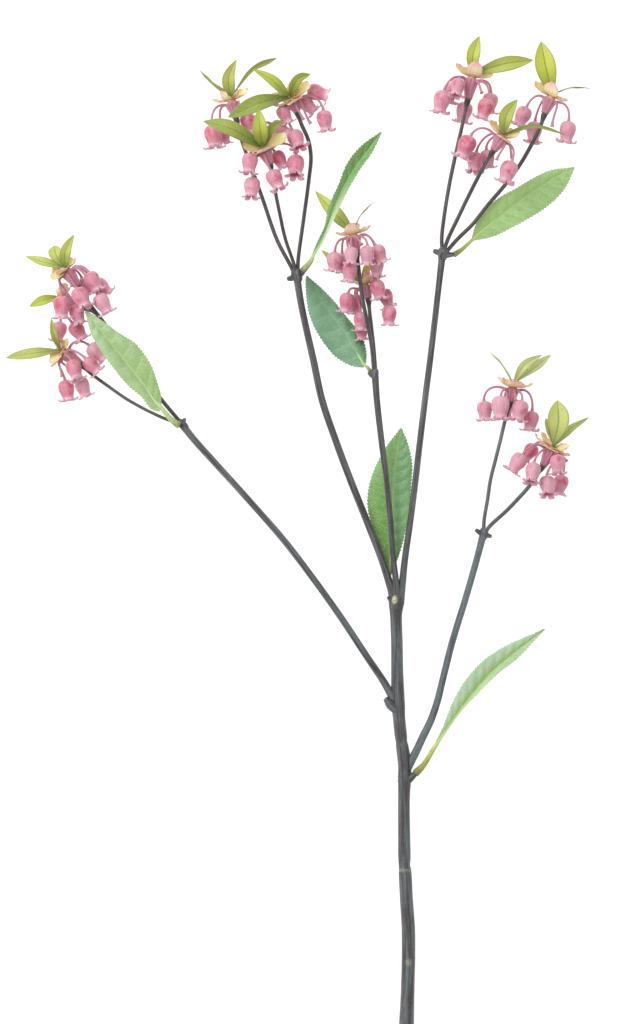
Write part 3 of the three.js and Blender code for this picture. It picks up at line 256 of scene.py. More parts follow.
# Grown leaves, each between its left edge, midrib and right edge from base to tip. In colours, left
# and right are the greens of that half at the foot and at the tip, and net is how plainly the fine
# netting shows on each.
BIG_LEAVES = {
    "leaf_left": {
        "colours": {"left": ("#a5c288", "#9fbe8c"), "right": ("#95b671", "#9aba84"), "vein": "#c6dba6",
            "margin": "#bdd4b0", "middle": "#94b472", "net": (0.25, 0.3)},
        "ruffle": 0.5,
        "petiole": {"yellow": 0.15, "radius": 1.3, "route": [[89.3, 299.3, 22.6], [85.2, 302.4, 24.4]]},
        "left": [[79.6, 306, 26.6], [75, 307.6, 28.2], [71.1, 312.8, 29.6], [64, 319, 31],
            [56.4, 328, 32.2], [50, 337, 32], [46, 344, 31], [42.5, 356, 28.9]],
        "middle": [[80, 308.6, 26.4], [77, 311.6, 27], [73, 317.4, 27.8], [65, 328, 29], [57, 338, 30],
            [50, 347, 30], [46, 352, 29.6], [42.8, 356.2, 28.8]],
        "right": [[80.6, 308.8, 26.6], [80.4, 314.4, 27.4], [78.5, 321.2, 28], [74.7, 330.8, 29],
            [68.1, 339.8, 30], [58.4, 346.1, 30.6], [51.4, 351.4, 30.2], [43.1, 356.5, 28.9]],
    },
    "leaf_upper_left": {
        "colours": {"left": ("#a6c592", "#648d4b"), "right": ("#c3dcb4", "#6f9c58"), "vein": "#a9cc8c",
            "margin": "#b5d3a4", "middle": "#80aa60", "net": (0.15, 0.15)},
        "ruffle": 0.3,
        "petiole": {"yellow": 0.3, "radius": 1.15, "route": [[151.3, 376.6, 25.3], [155.2, 381.2, 28.4]]},
        "left": [[155.4, 383.6, 30], [158.6, 391.4, 35.6], [161.8, 398, 39], [163.6, 407, 42.4],
            [168.6, 418.4, 45], [173.4, 430, 46.4], [181, 439, 46], [190, 445, 44.6]],
        "middle": [[156, 383.2, 29.4], [159.8, 391, 33.4], [163.4, 399.4, 37.4], [166.6, 407.4, 40.6],
            [171.6, 418, 43.4], [177.6, 428, 44.6], [183.6, 436, 44.6], [190.2, 445, 44.5]],
        "right": [[156.8, 383, 30], [161.4, 390.6, 35.4], [165.8, 399.6, 40.4], [169.8, 408, 43.6],
            [174.6, 417.6, 45.8], [180, 426.6, 46.4], [186, 435, 45.8], [190.4, 444.8, 44.6]],
    },
    "leaf_middle": {
        "colours": {"left": ("#6a9672", "#83b68f"), "right": ("#4c7c50", "#729f79"), "vein": "#98c29a",
            "margin": "#86b490", "middle": "#7cab80", "net": (0.3, 0.3)},
        "ruffle": 0.4,
        "petiole": {"yellow": 0.6, "radius": 0.8, "route": [[185, 326.2, 18.1], [183.6, 328.2, 16]]},
        "left": [[181.4, 328.2, 14.6], [175.8, 329, 12.4], [167, 334.2, 8.8], [158.4, 345.6, 6.4],
            [154.4, 354.8, 5.8], [152.8, 364, 6.6], [152.4, 372, 8.4]],
        "middle": [[181.8, 329.8, 14.4], [178.4, 335.4, 11.6], [172, 346, 7.8], [165.4, 355.4, 5.4],
            [160, 363, 5], [156.4, 369, 6.2], [152.8, 374, 8.4]],
        "right": [[182.8, 330.6, 14.6], [183, 336.4, 12.4], [180.4, 345, 8.6], [174.4, 352.4, 6.2],
            [166.6, 362, 6], [160.4, 368.4, 7], [153.2, 374.4, 8.6]],
    },
    "leaf_fork": {
        "colours": {"left": ("#70a34c", "#84b66c"), "right": ("#78a870", "#6d9e6a"), "vein": "#a6cb8c",
            "margin": "#8db888", "middle": "#84b26c", "net": (0.6, 0.25)},
        "ruffle": 0.5,
        "petiole": {"yellow": 0.5, "radius": 0.8, "route": [[195, 214.4, 9.05], [194, 220, 8.3]]},
        "left": [[193.8, 223, 8.4], [189.4, 238, 9], [185.4, 249.6, 9.8], [183.4, 260, 10.2],
            [184.4, 270, 10], [188, 280, 9.4], [193, 289, 8.6], [200, 298, 7.4]],
        "middle": [[194.4, 223, 8], [195.4, 238, 8], [196, 250, 8], [196.2, 262, 8], [196.6, 272, 8],
            [197.4, 281, 8], [198.6, 289, 7.8], [200.4, 298, 7.2]],
        "right": [[195, 223, 8.4], [200, 236, 9.2], [202.6, 246, 9.8], [204.6, 257, 10], [205.6, 270, 10],
            [206, 280, 9.4], [204, 290, 8.4], [200.8, 297.8, 7.4]],
    },
    "leaf_upper_right": {
        "colours": {"left": ("#a6cd7d", "#aad284"), "right": ("#95be76", "#95be78"), "vein": "#bcd79e",
            "margin": "#b4d0a4", "middle": "#9dc474", "net": (0.3, 0.3)},
        "ruffle": 0.4,
        "petiole": {"yellow": 0.8, "radius": 1.05, "route": [[226.8, 384.6, 22.2], [230.6, 387.2, 19.4]]},
        "left": [[235.4, 392.6, 16.8], [238.2, 401.3, 17.2], [243.3, 408.4, 17.2], [249.7, 413.5, 16.8],
            [258.3, 418.3, 16], [266.4, 423.1, 15], [275.4, 427.2, 13.8], [287, 428.6, 12.4]],
        "middle": [[236, 392.2, 16.4], [243.6, 399, 15.6], [250, 404, 15], [257, 409.6, 14.2],
            [264, 415, 13.4], [271.6, 420, 12.8], [279, 424.6, 12.4], [287, 428.4, 12]],
        "right": [[236.6, 391.6, 16.8], [246.2, 393.6, 16.8], [254.4, 397.4, 16.6], [262.5, 401.8, 16],
            [270.7, 406.8, 15.2], [277.8, 412.4, 14.4], [283, 418.8, 13.4], [287.2, 428, 12.4]],
    },
    "leaf_low": {
        "colours": {"left": ("#bedcb4", "#b9dbb4"), "right": ("#b2d4a2", "#a5c79c"), "vein": "#b4cf88",
            "margin": "#c9dfcf", "middle": "#a9c468", "net": (0.25, 0.25)},
        "ruffle": 0.3,
        "petiole": {"yellow": 1, "radius": 1.4, "route": [[207.55, 125, 7.75], [211.9, 129.6, 8.8]]},
        "left": [[216.4, 138.4, 10.2], [221, 148.2, 12.4], [225.9, 160.6, 14.4], [232, 171.4, 15.8],
            [240.2, 180.9, 16], [249.6, 187.6, 15.2], [259.8, 192.5, 13.8], [272, 197.6, 12]],
        "middle": [[217, 138, 9.8], [223, 147, 10.6], [229, 156, 11.2], [237.4, 167, 11.6],
            [245.4, 176, 11.8], [254.4, 183.6, 11.8], [263, 190.4, 11.8], [272.2, 197.4, 11.6]],
        "right": [[217.6, 137.4, 10.4], [225.3, 149, 11.6], [231.6, 157.5, 12.6], [240.4, 166.6, 13.4],
            [249.4, 175.4, 13.6], [258, 182, 13.2], [265.6, 189.8, 12.6], [272.4, 197.2, 12]],
    },
}

# Nodes, where the bark carries bands, and its pale scars: middle, half sizes, strength
NODES = [(90.8, 300, 20), (148.2, 374, 24), (187, 325, 20), (221, 385, 22), (241.5, 245, 18),
    (198.4, 158, 8.6), (202.4, 122, 7), (198, 211, 11.2)]
SCARS = [
    ((197.1, 212.2, 14.6), (1.35, 2.1, 2.4), 1),
    ((204.3, 30.2, 7), (2.3, 2.4, 2.2), 0.4),
    ((201.6, 76.4, 5), (4.5, 1.5, 4.5), 0.45),
]
# How much blue-grey wax each stem carries
BLOOM = {"main": 0.35, "left": 0.38, "upperLeft": 0.25, "middle": 0.25, "upperRight": 0.3, "right": 0.6,
    "G": 0.55, "H": 0.45, "twigs": 0.1}

# Stalks that have lost their bell: where each one ends, by cluster
BARE_STALKS = {"B": [(155.2, 449.6, 31), (151.6, 451.5, 34)], "D": [(240.6, 465.4, 21)],
    "E": [(247.6, 431.2, 39), (255.4, 432.4, 33)], "F": [(275.6, 448.4, 26)], "G": [(257.4, 311.6, 25.5)],
    "H": [(283.4, 281.4, 10)], "I": [(180.4, 389.2, 37)], "K": [(48.6, 373.6, 29), (36, 368.6, 29)],
    "L": [(30.6, 323.6, 14)]}
# Bracts twisted towards the side of their whorl, so that their hollow face shows: by cluster and
# number, in degrees
TWISTED_BRACTS = {("M", 0): -55, ("K", 0): -66, ("K", 1): 62, ("L", 0): -58, ("L", 1): 45, ("B", 2): 50,
    ("B", 0): -60, ("D", 0): -45, ("D", 2): 45, ("F", 0): -45, ("E", 0): -30, ("C", 0): -60, ("C", 1): -60,
    ("C", 2): 62, ("H", 3): 45, ("A", 0): 40, ("J", 2): 40, ("E", 2): 40}
# How rosy the bells are, dusty mauve below 0 and deep rose above: by cluster, and what single
# bells add to it
ROSINESS = {"A": 0.25, "B": -0.65, "C": -0.3, "D": -0.9, "E": -0.5, "F": -1.15, "G": -0.85, "H": -0.95,
    "I": -0.75, "J": 0, "K": -0.75, "L": -0.6}
ROSY_BELLS = {("D", 3): 1.4, ("E", 0): 0.6, ("J", 3): 1.1, ("K", 0): 0.9, ("H", 1): 0.9, ("G", 4): 0.7,
    ("L", 0): 0.5, ("L", 2): 0.4}
# How pale and greyish each shoot's leaves are, from 0 to 1
PALE_SHOOTS = {"A": 0.12, "E": 0.1, "D": 0.1, "G": 0.45, "H": 0.24, "I": 0.1, "K": 0.14, "L": 0.12}

# How finely each form is made: points round a ring, rings along it, and on stems the millimetres
# between rings; then how far up its dome each ring that closes an end is
ROUND = {"main": 28, "branch": 18, "twig": 12, "knob": 16, "cut_face": 30, "cone": 50, "bell": 60,
         "pedicel": 12, "plug": 24, "midrib": 10, "petiole": 14}
STEPS = {"knob": 9, "cone": 18, "plug": 6, "bell": 15, "lobe": 11, "pedicel": 26, "bract": 28,
         "young_leaf": 40, "leaf": 236, "midrib": 60, "petiole": 70}
RING_SPACING = {"main": 0.9, "branch": 1.1, "twig": 0.9}
BLADE_COLUMNS = 15
LEAF_COLUMNS = 19
DOMES = {"knob": np.linspace(0.15, 0.98, 7), "cone": np.linspace(0.2, 0.97, 6),
         "plug": np.linspace(0.25, 0.97, 5)}

# Bark: lengthwise ridges as how many go round and their share of the radius, bands at the nodes, the
# collar where a twig meets its cluster, and knobs with lumps as share, count, drift and phase
RIDGES = [(2, 0.022), (3, 0.03), (5, 0.026), (8, 0.016)]
RIDGE_DRIFT = 0.05
BAND = {"reach": 3.2, "spacing": 1.3, "swell": 0.07, "pale": 0.15}
COLLAR = {"radius": 1.55, "length": 3.6, "inside": 1.5, "reach": 3.4}
KNOB = {"dome": 0.55, "pale": 0.35, "wax": 0.35, "lumps": [(0.06, 3, 4, 0), (0.04, 5, -7, 1)]}
# The sawn end's rings: share of the stem's radius, depth behind the bark's end, how pale
CUT_RINGS = [(0.12, -0.05, 0.55), (0.2, -0.05, 0.45), (0.26, -0.05, 1), (0.7, -0.05, 0.9),
             (0.84, -0.05, 0.8), (0.87, -0.02, 0.5), (0.87, 0.45, 0.5)]
CUT_WAX = 0.25

# The bell: body as distance from the crown and radius, then its five lobes beyond the throat: how
# far each goes on, the share of its width that is tongue, and how far round it curls at its tip
BELL_LENGTH = 10.6
BELL_BODY = [[0, 0.03], [0.08, 0.95], [0.34, 2.0], [0.9, 2.96], [1.8, 3.6], [3.0, 3.93], [4.3, 3.98],
             [5.6, 3.76], [6.9, 3.36], [8.05, 3.0], [8.8, 2.88]]
BELL_CROWN = 0.5
BELL_WALL = 0.34
BELL_RIB = 0.03
BELL_SOFTNESS = 0.7
LOBES = 5
LOBE_LENGTH = {"gap": 0.12, "tip": 3.3}
LOBE_SHARE = 0.93
LOBE_CURL = {"turn": 2.7, "power": 1.25}
LOBE_WIDTH_KEPT = 0.62
LOBE_UNEVEN = 0.2
LOBE_FLESH = 0.34
# How much bells are squeezed and, above a height, turned at random, and how much their tones spread
BELL_SQUEEZE = 0.04
BELL_SPIN = 0.4
LOW_BELL = 4.5
TONE_SPREAD = 0.5
# Its stalk: how it widens at the cone and at the calyx, where it leaves the cone, and its arch's
# handles as shares of its span: away from the cone, up along it, and back from the crown
PEDICEL = {"radius": 0.56, "foot": 0.7, "calyx": 0.9, "below_top": 1.4, "inset": 1.6,
           "handles": (0.5, 0.3, 0.5)}

# The cone, then the whorl and the shoot that stand on it, their heights and plugs' radii
CONE_RADIUS = {"foot": 1.9, "top": 3.7, "power": 1.1}
CONE_DOME = 0.3
CONE_RIBS = 10
CONE_RIB_DEPTH = 0.26
GAP = 0.35
WHORL_HEIGHT = 1.5
SHOOT_HEIGHT = 1.4
WHORL_PLUG = (2.6, 1.7)
SHOOT_PLUG = (1.25, 0.7)
PLUG_DOME = 0.35

# Blades. outline: the phase where a bract's sine starts, how far it runs, and where its tip rounds off
BRACT = {"wall": 0.28, "cup": 0.6, "power": 2, "flatter": 0.9, "sag": 0.22, "belly": 0.55, "seat": 0.55,
         "inset": 1.2, "wave": 0.5, "outline": (0.22, 0.68, 0.66)}
YOUNG_LEAF = {"wall": 0.3, "fold": 0.3, "power": 1.35, "seat": 0.6, "inset": 0.4, "wave": 0.25, "foot": 0.12,
              "least": 0.06}

# Grown leaf: wall, swelling of each half over its width, quilting, teeth, veins and raised midrib
LEAF_WALL = 0.35
BULGE = 0.06
QUILT = 0.22
TOOTH = {"pitch": 1.7, "depth": 0.75, "proud": 0.3, "grown_at": 0.15}
VEIN = {"spacing": 6.5, "sweep": 0.95, "width": 0.42, "side": 0.62, "sunk": 0.16}
RIB = {"end": 0.93, "sunk": 0.25, "radii": (0.6, 0.12)}
# The leaf stalk under the blade: share of the midrib, how far below it
STALK_UNDER_BLADE = [(0, 0), (0.05, 0), (0.11, 0.05), (0.2, 0.12), (0.32, 0.2), (0.5, 0.35)]

# Light, table and camera
WORLD_LIGHT = 0.62
TABLE_GLOW = 0.96
TABLE_SHADE = (0.2, 0.2, 0.2, 1.0)
TABLE_HALF = 6.0
FLOOR_HEIGHT = -0.0002
WINDOW_WATTS = 28.0
WINDOW_SIZE = 1.4
WINDOW_PLACE = (-0.9, 0.8, 1.6)
CAMERA_PLACE = (0.006, 0.0095, 5.018)
CAMERA_LENS = 351.6

rng = np.random.default_rng(11)


def unit(vectors):
    """Vectors divided by their lengths."""
    return vectors / np.linalg.norm(vectors, axis=-1, keepdims=True)


def smooth_route(places, t):
    """Points on the curve that the solids use: a centripetal Catmull-Rom spline through the places,
    where each place takes an equal share of t and each span's ends are weighed by the square root
    of the distances. Columns after x, y, z ride along."""
    p = np.asarray(places, float)
    p = np.vstack([2 * p[0] - p[1], p, 2 * p[-1] - p[-2]])
    at = np.clip(t, 0, 1) * (len(p) - 3)
    span = np.minimum(at.astype(int), len(p) - 4)
    w = (at - span)[:, None]
    a, b, c, d = p[span], p[span + 1], p[span + 2], p[span + 3]
    ab, bc, cd = (np.sqrt(np.linalg.norm((y - x)[:, :3], axis=1))[:, None]
                  for x, y in ((a, b), (b, c), (c, d)))
    leaving = ((b - a) / ab - (c - a) / (ab + bc) + (c - b) / bc) * bc
    arriving = ((c - b) / bc - (d - b) / (bc + cd) + (d - c) / cd) * bc
    return (b + leaving * w + (3 * (c - b) - 2 * leaving - arriving) * w ** 2
            + (2 * (b - c) + leaving + arriving) * w ** 3)


def travelled(points):
    """Distance along a path at each of its points."""
    return np.concatenate([[0], np.cumsum(np.linalg.norm(np.diff(points, axis=0), axis=1))])


def circle(form):
    """Angles of the points round one ring of a form."""
    return np.arange(ROUND[form])[None] / ROUND[form] * 2 * np.pi


def ringed(points, forward, radii, angle, reference=UP):
    """Rings round places on a path, square to its direction. Each starts in that direction crossed
    with the reference, so that the rings don't twist; radii has one value, or one for each angle, per
    ring."""
    across = unit(np.cross(forward, reference))
    beside = np.cross(forward, across)
    spread = across[..., None, :] * np.cos(angle)[..., None] + beside[..., None, :] * np.sin(angle)[..., None]
    return points[..., None, :] + radii[..., None] * spread


def tube(points, radii, angle, reference=UP):
    """Rings along a curved path, each square to it."""
    return ringed(points, unit(np.gradient(points, axis=0)), radii, angle, reference)


def core(form, start, end, rise):
    """A short straight core that closes in a dome: its axis, the places of its rings, and at each ring
    the share of the length and how far up the dome it is. The dome is rise high."""
    axis = unit(end - start)
    height = np.concatenate([np.linspace(0, 1, STEPS[form]), np.ones(len(DOMES[form]))])[:, None]
    dome = np.concatenate([np.zeros(STEPS[form]), DOMES[form]])[:, None]
    return axis, start + (end - start) * height + axis * rise * dome, height, dome


def outwards(offset, axis):
    """The direction square to an axis in which something lies from it."""
    return unit(offset - (offset @ axis) * axis)


def turned(side, axis, angle):
    """A direction square to the axis, turned about it by an angle in radians."""
    return side * np.cos(angle) + np.cross(axis, side) * np.sin(angle)


def on_surface(*values):
    """Stacks the parts of a "place" over rings of points."""
    return np.stack(np.broadcast_arrays(*values), -1)


class Piece:
    """Closed bodies, each given as rings of points, that become one mesh. Every point also carries
    "place", a position on its own surface, "mark" and "tone", which the materials read."""

    def __init__(self):
        self.bodies = []
        self.count = 0

    def add(self, rings, place, mark=0.0, tone=0.0, finish=0):
        """Bands of faces between neighbouring rings and a fan on each end, turned to face outwards."""
        n, m = rings.shape[:2]
        grid = np.arange(n * m).reshape(n, m)
        following = np.roll(grid, -1, axis=1)
        quads = np.stack([grid[:-1], following[:-1], following[1:], grid[1:]], -1).reshape(-1, 4)
        fans = np.concatenate([
            np.stack([np.full(m, n * m), following[0], grid[0]], -1),
            np.stack([np.full(m, n * m + 1), grid[-1], following[-1]], -1)])
        points = np.concatenate([rings.reshape(-1, 3), rings[[0, -1]].mean(1)])
        halves = np.concatenate([quads[:, :3], quads[:, [0, 2, 3]], fans])
        a, b, c = (points[halves[:, k]] for k in range(3))
        if np.einsum("ij,ij->i", a, np.cross(b, c)).sum() < 0:
            quads, fans = quads[:, ::-1], fans[:, ::-1]
        carried = []
        for values in (place, on_surface(mark), on_surface(tone)):
            values = np.broadcast_to(values, (n, m, values.shape[-1]))
            carried.append(np.concatenate([values.reshape(n * m, -1), values[[0, -1]].mean(1)]))
        self.bodies.append((points, quads + self.count, fans + self.count, carried, finish))
        self.count += len(points)

    def build(self, name, node, slot, *materials):
        """The mesh object, riding on the part's one body in place of its node."""
        mesh = bpy.data.meshes.new(name)
        points = (np.concatenate([body[0] for body in self.bodies]) - MIDDLE) * METRES
        quads, fans = (np.concatenate([body[k] for body in self.bodies]) for k in (1, 2))
        finish = np.concatenate([np.full(len(body[k]), body[4]) for k in (1, 2) for body in self.bodies])
        starts = np.concatenate([np.arange(len(quads)) * 4, len(quads) * 4 + np.arange(len(fans)) * 3])
        corners = np.concatenate([quads.ravel(), fans.ravel()])
        mesh.vertices.add(len(points))
        mesh.vertices.foreach_set("co", points.astype(np.float32).ravel())
        mesh.loops.add(len(corners))
        mesh.loops.foreach_set("vertex_index", corners.astype(np.int32))
        mesh.polygons.add(len(starts))
        mesh.polygons.foreach_set("loop_start", starts.astype(np.int32))
        mesh.polygons.foreach_set("material_index", finish.astype(np.int32))
        mesh.polygons.foreach_set("use_smooth", np.ones(len(finish), bool))
        mesh.update(calc_edges=True)
        for column, (key, kind, field) in enumerate((
                ("place", "FLOAT_VECTOR", "vector"), ("mark", "FLOAT", "value"), ("tone", "FLOAT", "value"))):
            values = np.concatenate([body[3][column] for body in self.bodies]).astype(np.float32)
            mesh.attributes.new(key, kind, "POINT").data.foreach_set(field, values.ravel())
        for material in materials:
            mesh.materials.append(material)
        made = bpy.data.objects.new(name, mesh)
        bpy.context.scene.collection.objects.link(made)
        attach(made, "root")
        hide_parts(node)


# Wood

def scars(rings):
    """How pale each point is: the strongest of the scars, each fading with the fourth power of the
    distance from its middle over its own half sizes."""
    pale = np.zeros(rings.shape[:2])
    for centre, half, strength in SCARS:
        away = (((rings - centre) / half) ** 2).sum(-1)
        pale = np.maximum(pale, strength * np.exp(-away ** 2))
    return pale


def woody_tube(piece, form, route, bloom, collar=None):
    """A stem: the radius follows the route, times one plus shallow lengthwise ridges, a sum of cosines
    of the angle that drift along the stem, and plus fine bands round it near its nodes. Near its
    collar, under a cluster, the mark goes below zero, which the bark reads as green."""
    route = np.asarray(route, float)
    t = np.linspace(0, 1, int(travelled(route[:, :3])[-1] / RING_SPACING[form]) + 2)
    path, width = np.split(smooth_route(route, t), [3], axis=1)
    along = travelled(path)[:, None]
    angle = circle(form)
    ridges = sum(size * np.cos(count * angle + drift * along + phase) for (count, size), drift, phase in zip(
        RIDGES, rng.uniform(-RIDGE_DRIFT, RIDGE_DRIFT, len(RIDGES)), rng.uniform(0, 6.3, len(RIDGES))))
    bands = np.zeros_like(along)
    for node in NODES:
        near = np.exp(-(np.linalg.norm(path - node, axis=1)[:, None] / BAND["reach"]) ** 4)
        bands = np.maximum(bands, near * (0.5 + 0.5 * np.cos(along * 2 * np.pi / BAND["spacing"])))
    rings = tube(path, width * (1 + ridges + BAND["swell"] * bands), angle)
    place = on_surface(width * np.cos(angle), width * np.sin(angle), along + 100 * rng.random())
    mark = BAND["pale"] * bands + scars(rings)
    if collar is not None:
        mark = mark - np.exp(-(np.linalg.norm(rings - collar, axis=-1) / COLLAR["reach"]) ** 4)
    piece.add(rings, place, mark, bloom)


def knob(piece, start, end, low, high):
    """A node swelling, stub or old bud scale: a short tube that bulges by a sine and ends in a dome,
    lumpy all round."""
    start, end = np.array([start, end], float)
    axis, points, height, dome = core("knob", start, end, KNOB["dome"] * high)
    angle = circle("knob")
    bulge = 0.55 + 0.45 * np.sin(np.pi * (0.08 + 0.6 * height))
    lumps = 1 + sum(size * np.cos(count * angle + drift * height + phase)
                    for size, count, drift, phase in KNOB["lumps"])
    radii = (low + (high - low) * height) * bulge * np.sqrt(1 - dome ** 2) * lumps
    rings = ringed(points, axis, radii, angle, UP + [0.02, 0.01, 0])
    place = on_surface(high * np.cos(angle), high * np.sin(angle), 3 * height + 60 * rng.random())
    piece.add(rings, place, KNOB["pale"] * dome + scars(rings), KNOB["wax"])


def cut_face(piece):
    """The sawn end: a thin pale disc inside the bark with a darker ring of pith round its middle. Each
    ring has a share of the stem's radius, a depth and how pale it is."""
    x, y, z, radius = WOOD["main"][0]
    share, depth, pale = np.array(CUT_RINGS).T[..., None]
    angle = circle("cut_face")
    rings = on_surface(x + radius * share * np.cos(angle), y + depth, z + radius * share * np.sin(angle))
    piece.add(rings, on_surface(radius * np.cos(angle), radius * np.sin(angle), 0.0), pale, CUT_WAX)


def wood():
    """Main axis, branches, twigs and the knobs at their nodes."""
    piece = Piece()
    cut_face(piece)
    for name, route in WOOD.items():
        woody_tube(piece, "main" if name == "main" else "branch", route, BLOOM[name])
    for name, route in TWIGS.items():
        foot, top = np.array(CLUSTERS[name]["cone"], float)
        last, end = np.array(route[-2:], float)
        before = end + unit(last - end) * COLLAR["length"]
        inside = foot + unit(top - foot) * COLLAR["inside"]
        radii = np.full((len(route) + 2, 1), TWIG_RADIUS)
        radii[-2] = COLLAR["radius"]
        radii[1:-2] *= THIN_TWIG.get(name, 1.0)
        places = np.array([*route[:-1], before, end, inside])
        woody_tube(piece, "twig", np.hstack([places, radii]), BLOOM.get(name, BLOOM["twigs"]), end)
    for start, end, low, high in STUBS:
        knob(piece, start, end, low, high)
    piece.build("bark", "stem", "bark", FINISHES["bark"])


# Flowers

def cone(piece, foot, top, tone):
    """The swollen end that the bells hang from: the radius grows from foot to top as a power of the
    height, ribs push it in and out, and its top closes in a low dome."""
    axis, points, height, dome = core("cone", foot, top, CONE_DOME)
    angle = circle("cone")
    radius = CONE_RADIUS["foot"] + (CONE_RADIUS["top"] - CONE_RADIUS["foot"]) * height ** CONE_RADIUS["power"]
    ribs = height * np.cos(CONE_RIBS * angle)
    rings = ringed(points, axis, (radius + CONE_RIB_DEPTH * ribs) * np.sqrt(1 - dome ** 2), angle)
    place = on_surface(angle / (2 * np.pi) * CONE_RIBS, height + 0.1 * dome, 0.0)
    piece.add(rings, place, ribs, tone, finish=1)


def bell(piece, middle, mouth, size, spin, squeeze, tone):
    """A bell: the body's profile turned round its axis with five soft ribs. Beyond the throat each
    column of the wall goes on for its own reach, long on a lobe and short in a gap, while its
    direction turns out and back up by a power of the way gone. The columns of a lobe draw together
    as the radius grows, so that the lobe keeps its width. The inside is the same surface set in by
    the wall's thickness, which a sine swells along each lobe."""
    body = smooth_route(np.pad(BELL_BODY, ((0, 0), (0, 1))), np.linspace(0, 1, STEPS["bell"]))
    angle = circle("bell")
    sector = angle * LOBES / (2 * np.pi)
    lobe = np.round(sector)
    uneven = 1 + LOBE_UNEVEN * rng.uniform(-1, 1, (2, LOBES))[:, lobe[0].astype(int) % LOBES]
    reach = LOBE_LENGTH["gap"] + (LOBE_LENGTH["tip"] - LOBE_LENGTH["gap"]) * uneven[0] * np.sqrt(
        np.clip(1 - (2 * np.abs(sector - lobe) / LOBE_SHARE) ** 2, 0, 1))
    gone = (np.arange(STEPS["lobe"])[:, None] + 0.5) / STEPS["lobe"] * reach
    heading = LOBE_CURL["turn"] * uneven[1] * (gone / LOBE_LENGTH["tip"]) ** LOBE_CURL["power"]
    along, radius = (np.vstack([np.repeat(body[:, k:k + 1], angle.size, 1),
                                body[-1, k] + np.cumsum(part(heading) * reach / STEPS["lobe"], axis=0)])
                     for k, part in enumerate((np.cos, np.sin)))
    drawn = np.minimum(body[-1, 1] / np.maximum(radius, 0.01), 1) ** LOBE_WIDTH_KEPT
    drawn[:STEPS["bell"]] = 1
    turn = 2 * np.pi / LOBES * (lobe + (sector - lobe) * drawn)
    belly = np.sin(np.pi * np.clip(along / BELL_BODY[-1][0], 0, 1)) ** BELL_SOFTNESS
    radius = radius * (1 + BELL_RIB * belly * np.cos(LOBES * angle) + squeeze * np.cos(2 * angle))
    down, out = np.gradient(along, axis=0), np.gradient(radius, axis=0)
    steep = np.hypot(down, out)
    flat = np.zeros((STEPS["bell"], angle.size))
    swell = np.sin(np.pi * np.clip(gone / np.maximum(reach, 0.01), 0, 1)) ** BELL_SOFTNESS
    swell = swell * np.minimum(reach, 1)
    wall = BELL_WALL + LOBE_FLESH * np.vstack([flat, swell])
    along = np.vstack([along, (along + wall * out / steep)[::-1]])
    radius = np.vstack([radius, np.maximum(radius - wall * down / steep, 0.02)[::-1]])
    rings = ringed(middle, mouth, size * radius, np.vstack([turn, turn[::-1]]) + spin, UP + [0.013, 0.007, 0])
    rings = rings + (size * (along - BELL_LENGTH / 2))[..., None] * mouth
    share = np.linspace(0, 1, len(turn))
    share, inside = np.hstack([share, share[::-1]])[:, None], np.repeat([0, 1], len(turn))[:, None]
    curled = np.vstack([flat, gone / LOBE_LENGTH["tip"]])
    piece.add(rings, on_surface(sector, share, inside), np.vstack([curled, curled[::-1]]), tone)


def pedicel(piece, crown, mouth, top, axis, tone):
    """A bell's stalk: a cubic arch that leaves the cone's side and comes down on the crown, where it
    widens into the small calyx."""
    out = outwards(crown - top, axis)
    start = top - axis * PEDICEL["below_top"] + out * PEDICEL["inset"]
    away, up, back = np.array(PEDICEL["handles"]) * np.linalg.norm(crown - start)
    handles = np.array([start, start + away * out + up * axis, crown - back * mouth, crown])
    t = np.linspace(0, 1, STEPS["pedicel"])[:, None]
    weights = np.hstack([(1 - t) ** 3, 3 * t * (1 - t) ** 2, 3 * t ** 2 * (1 - t), t ** 3])
    radii = PEDICEL["radius"] * (1 + PEDICEL["foot"] * (1 - t) ** 5 + PEDICEL["calyx"] * t ** 16)
    angle = circle("pedicel")
    rings = tube(weights @ handles, radii, angle, unit(np.cross(out, mouth) + 0.01 * axis))
    piece.add(rings, on_surface(angle / 6.3, 0.25 + 0.75 * t, 0.0), t, tone, finish=1)


def blossom(letter, cluster):
    """One cluster's cone, bells and stalks. A lobe of each bell faces up, so that a gap faces the
    surface the branch lies on; only bells well clear of it are turned from that at random."""
    piece = Piece()
    foot, top = np.array(cluster["cone"], float)
    axis = unit(top - foot)
    cone(piece, foot, top, rng.uniform(-0.3, 0.3))
    for number, (x, y, z, lean, tip, size) in enumerate(cluster["bells"]):
        side, forward = np.radians([lean, tip])
        mouth = np.array([np.sin(side) * np.cos(forward), -np.cos(side) * np.cos(forward), np.sin(forward)])
        middle = np.array([x, y, z], float)
        tone, jitter, squeeze = rng.uniform(-1, 1, 3)
        tone = TONE_SPREAD * tone + ROSINESS.get(letter, 0.0) + ROSY_BELLS.get((letter, number), 0.0)
        pedicel(piece, middle + mouth * size * (BELL_CROWN - BELL_LENGTH / 2), mouth, top, axis, tone)
        clear = np.clip((z - LOW_BELL) / 5, 0, 1)
        spin = -np.pi / 2 + BELL_SPIN * jitter * clear
        bell(piece, middle, mouth, size, spin, BELL_SQUEEZE * squeeze, tone)
    for end in np.array(BARE_STALKS.get(letter, ())):
        pedicel(piece, end, unit(end - top - 3 * axis), top, axis, 0.0)
    piece.build("bells_" + letter, "blossom_" + letter, "corolla", FINISHES["petal"], FINISHES["stalk"])


# Bracts and young leaves

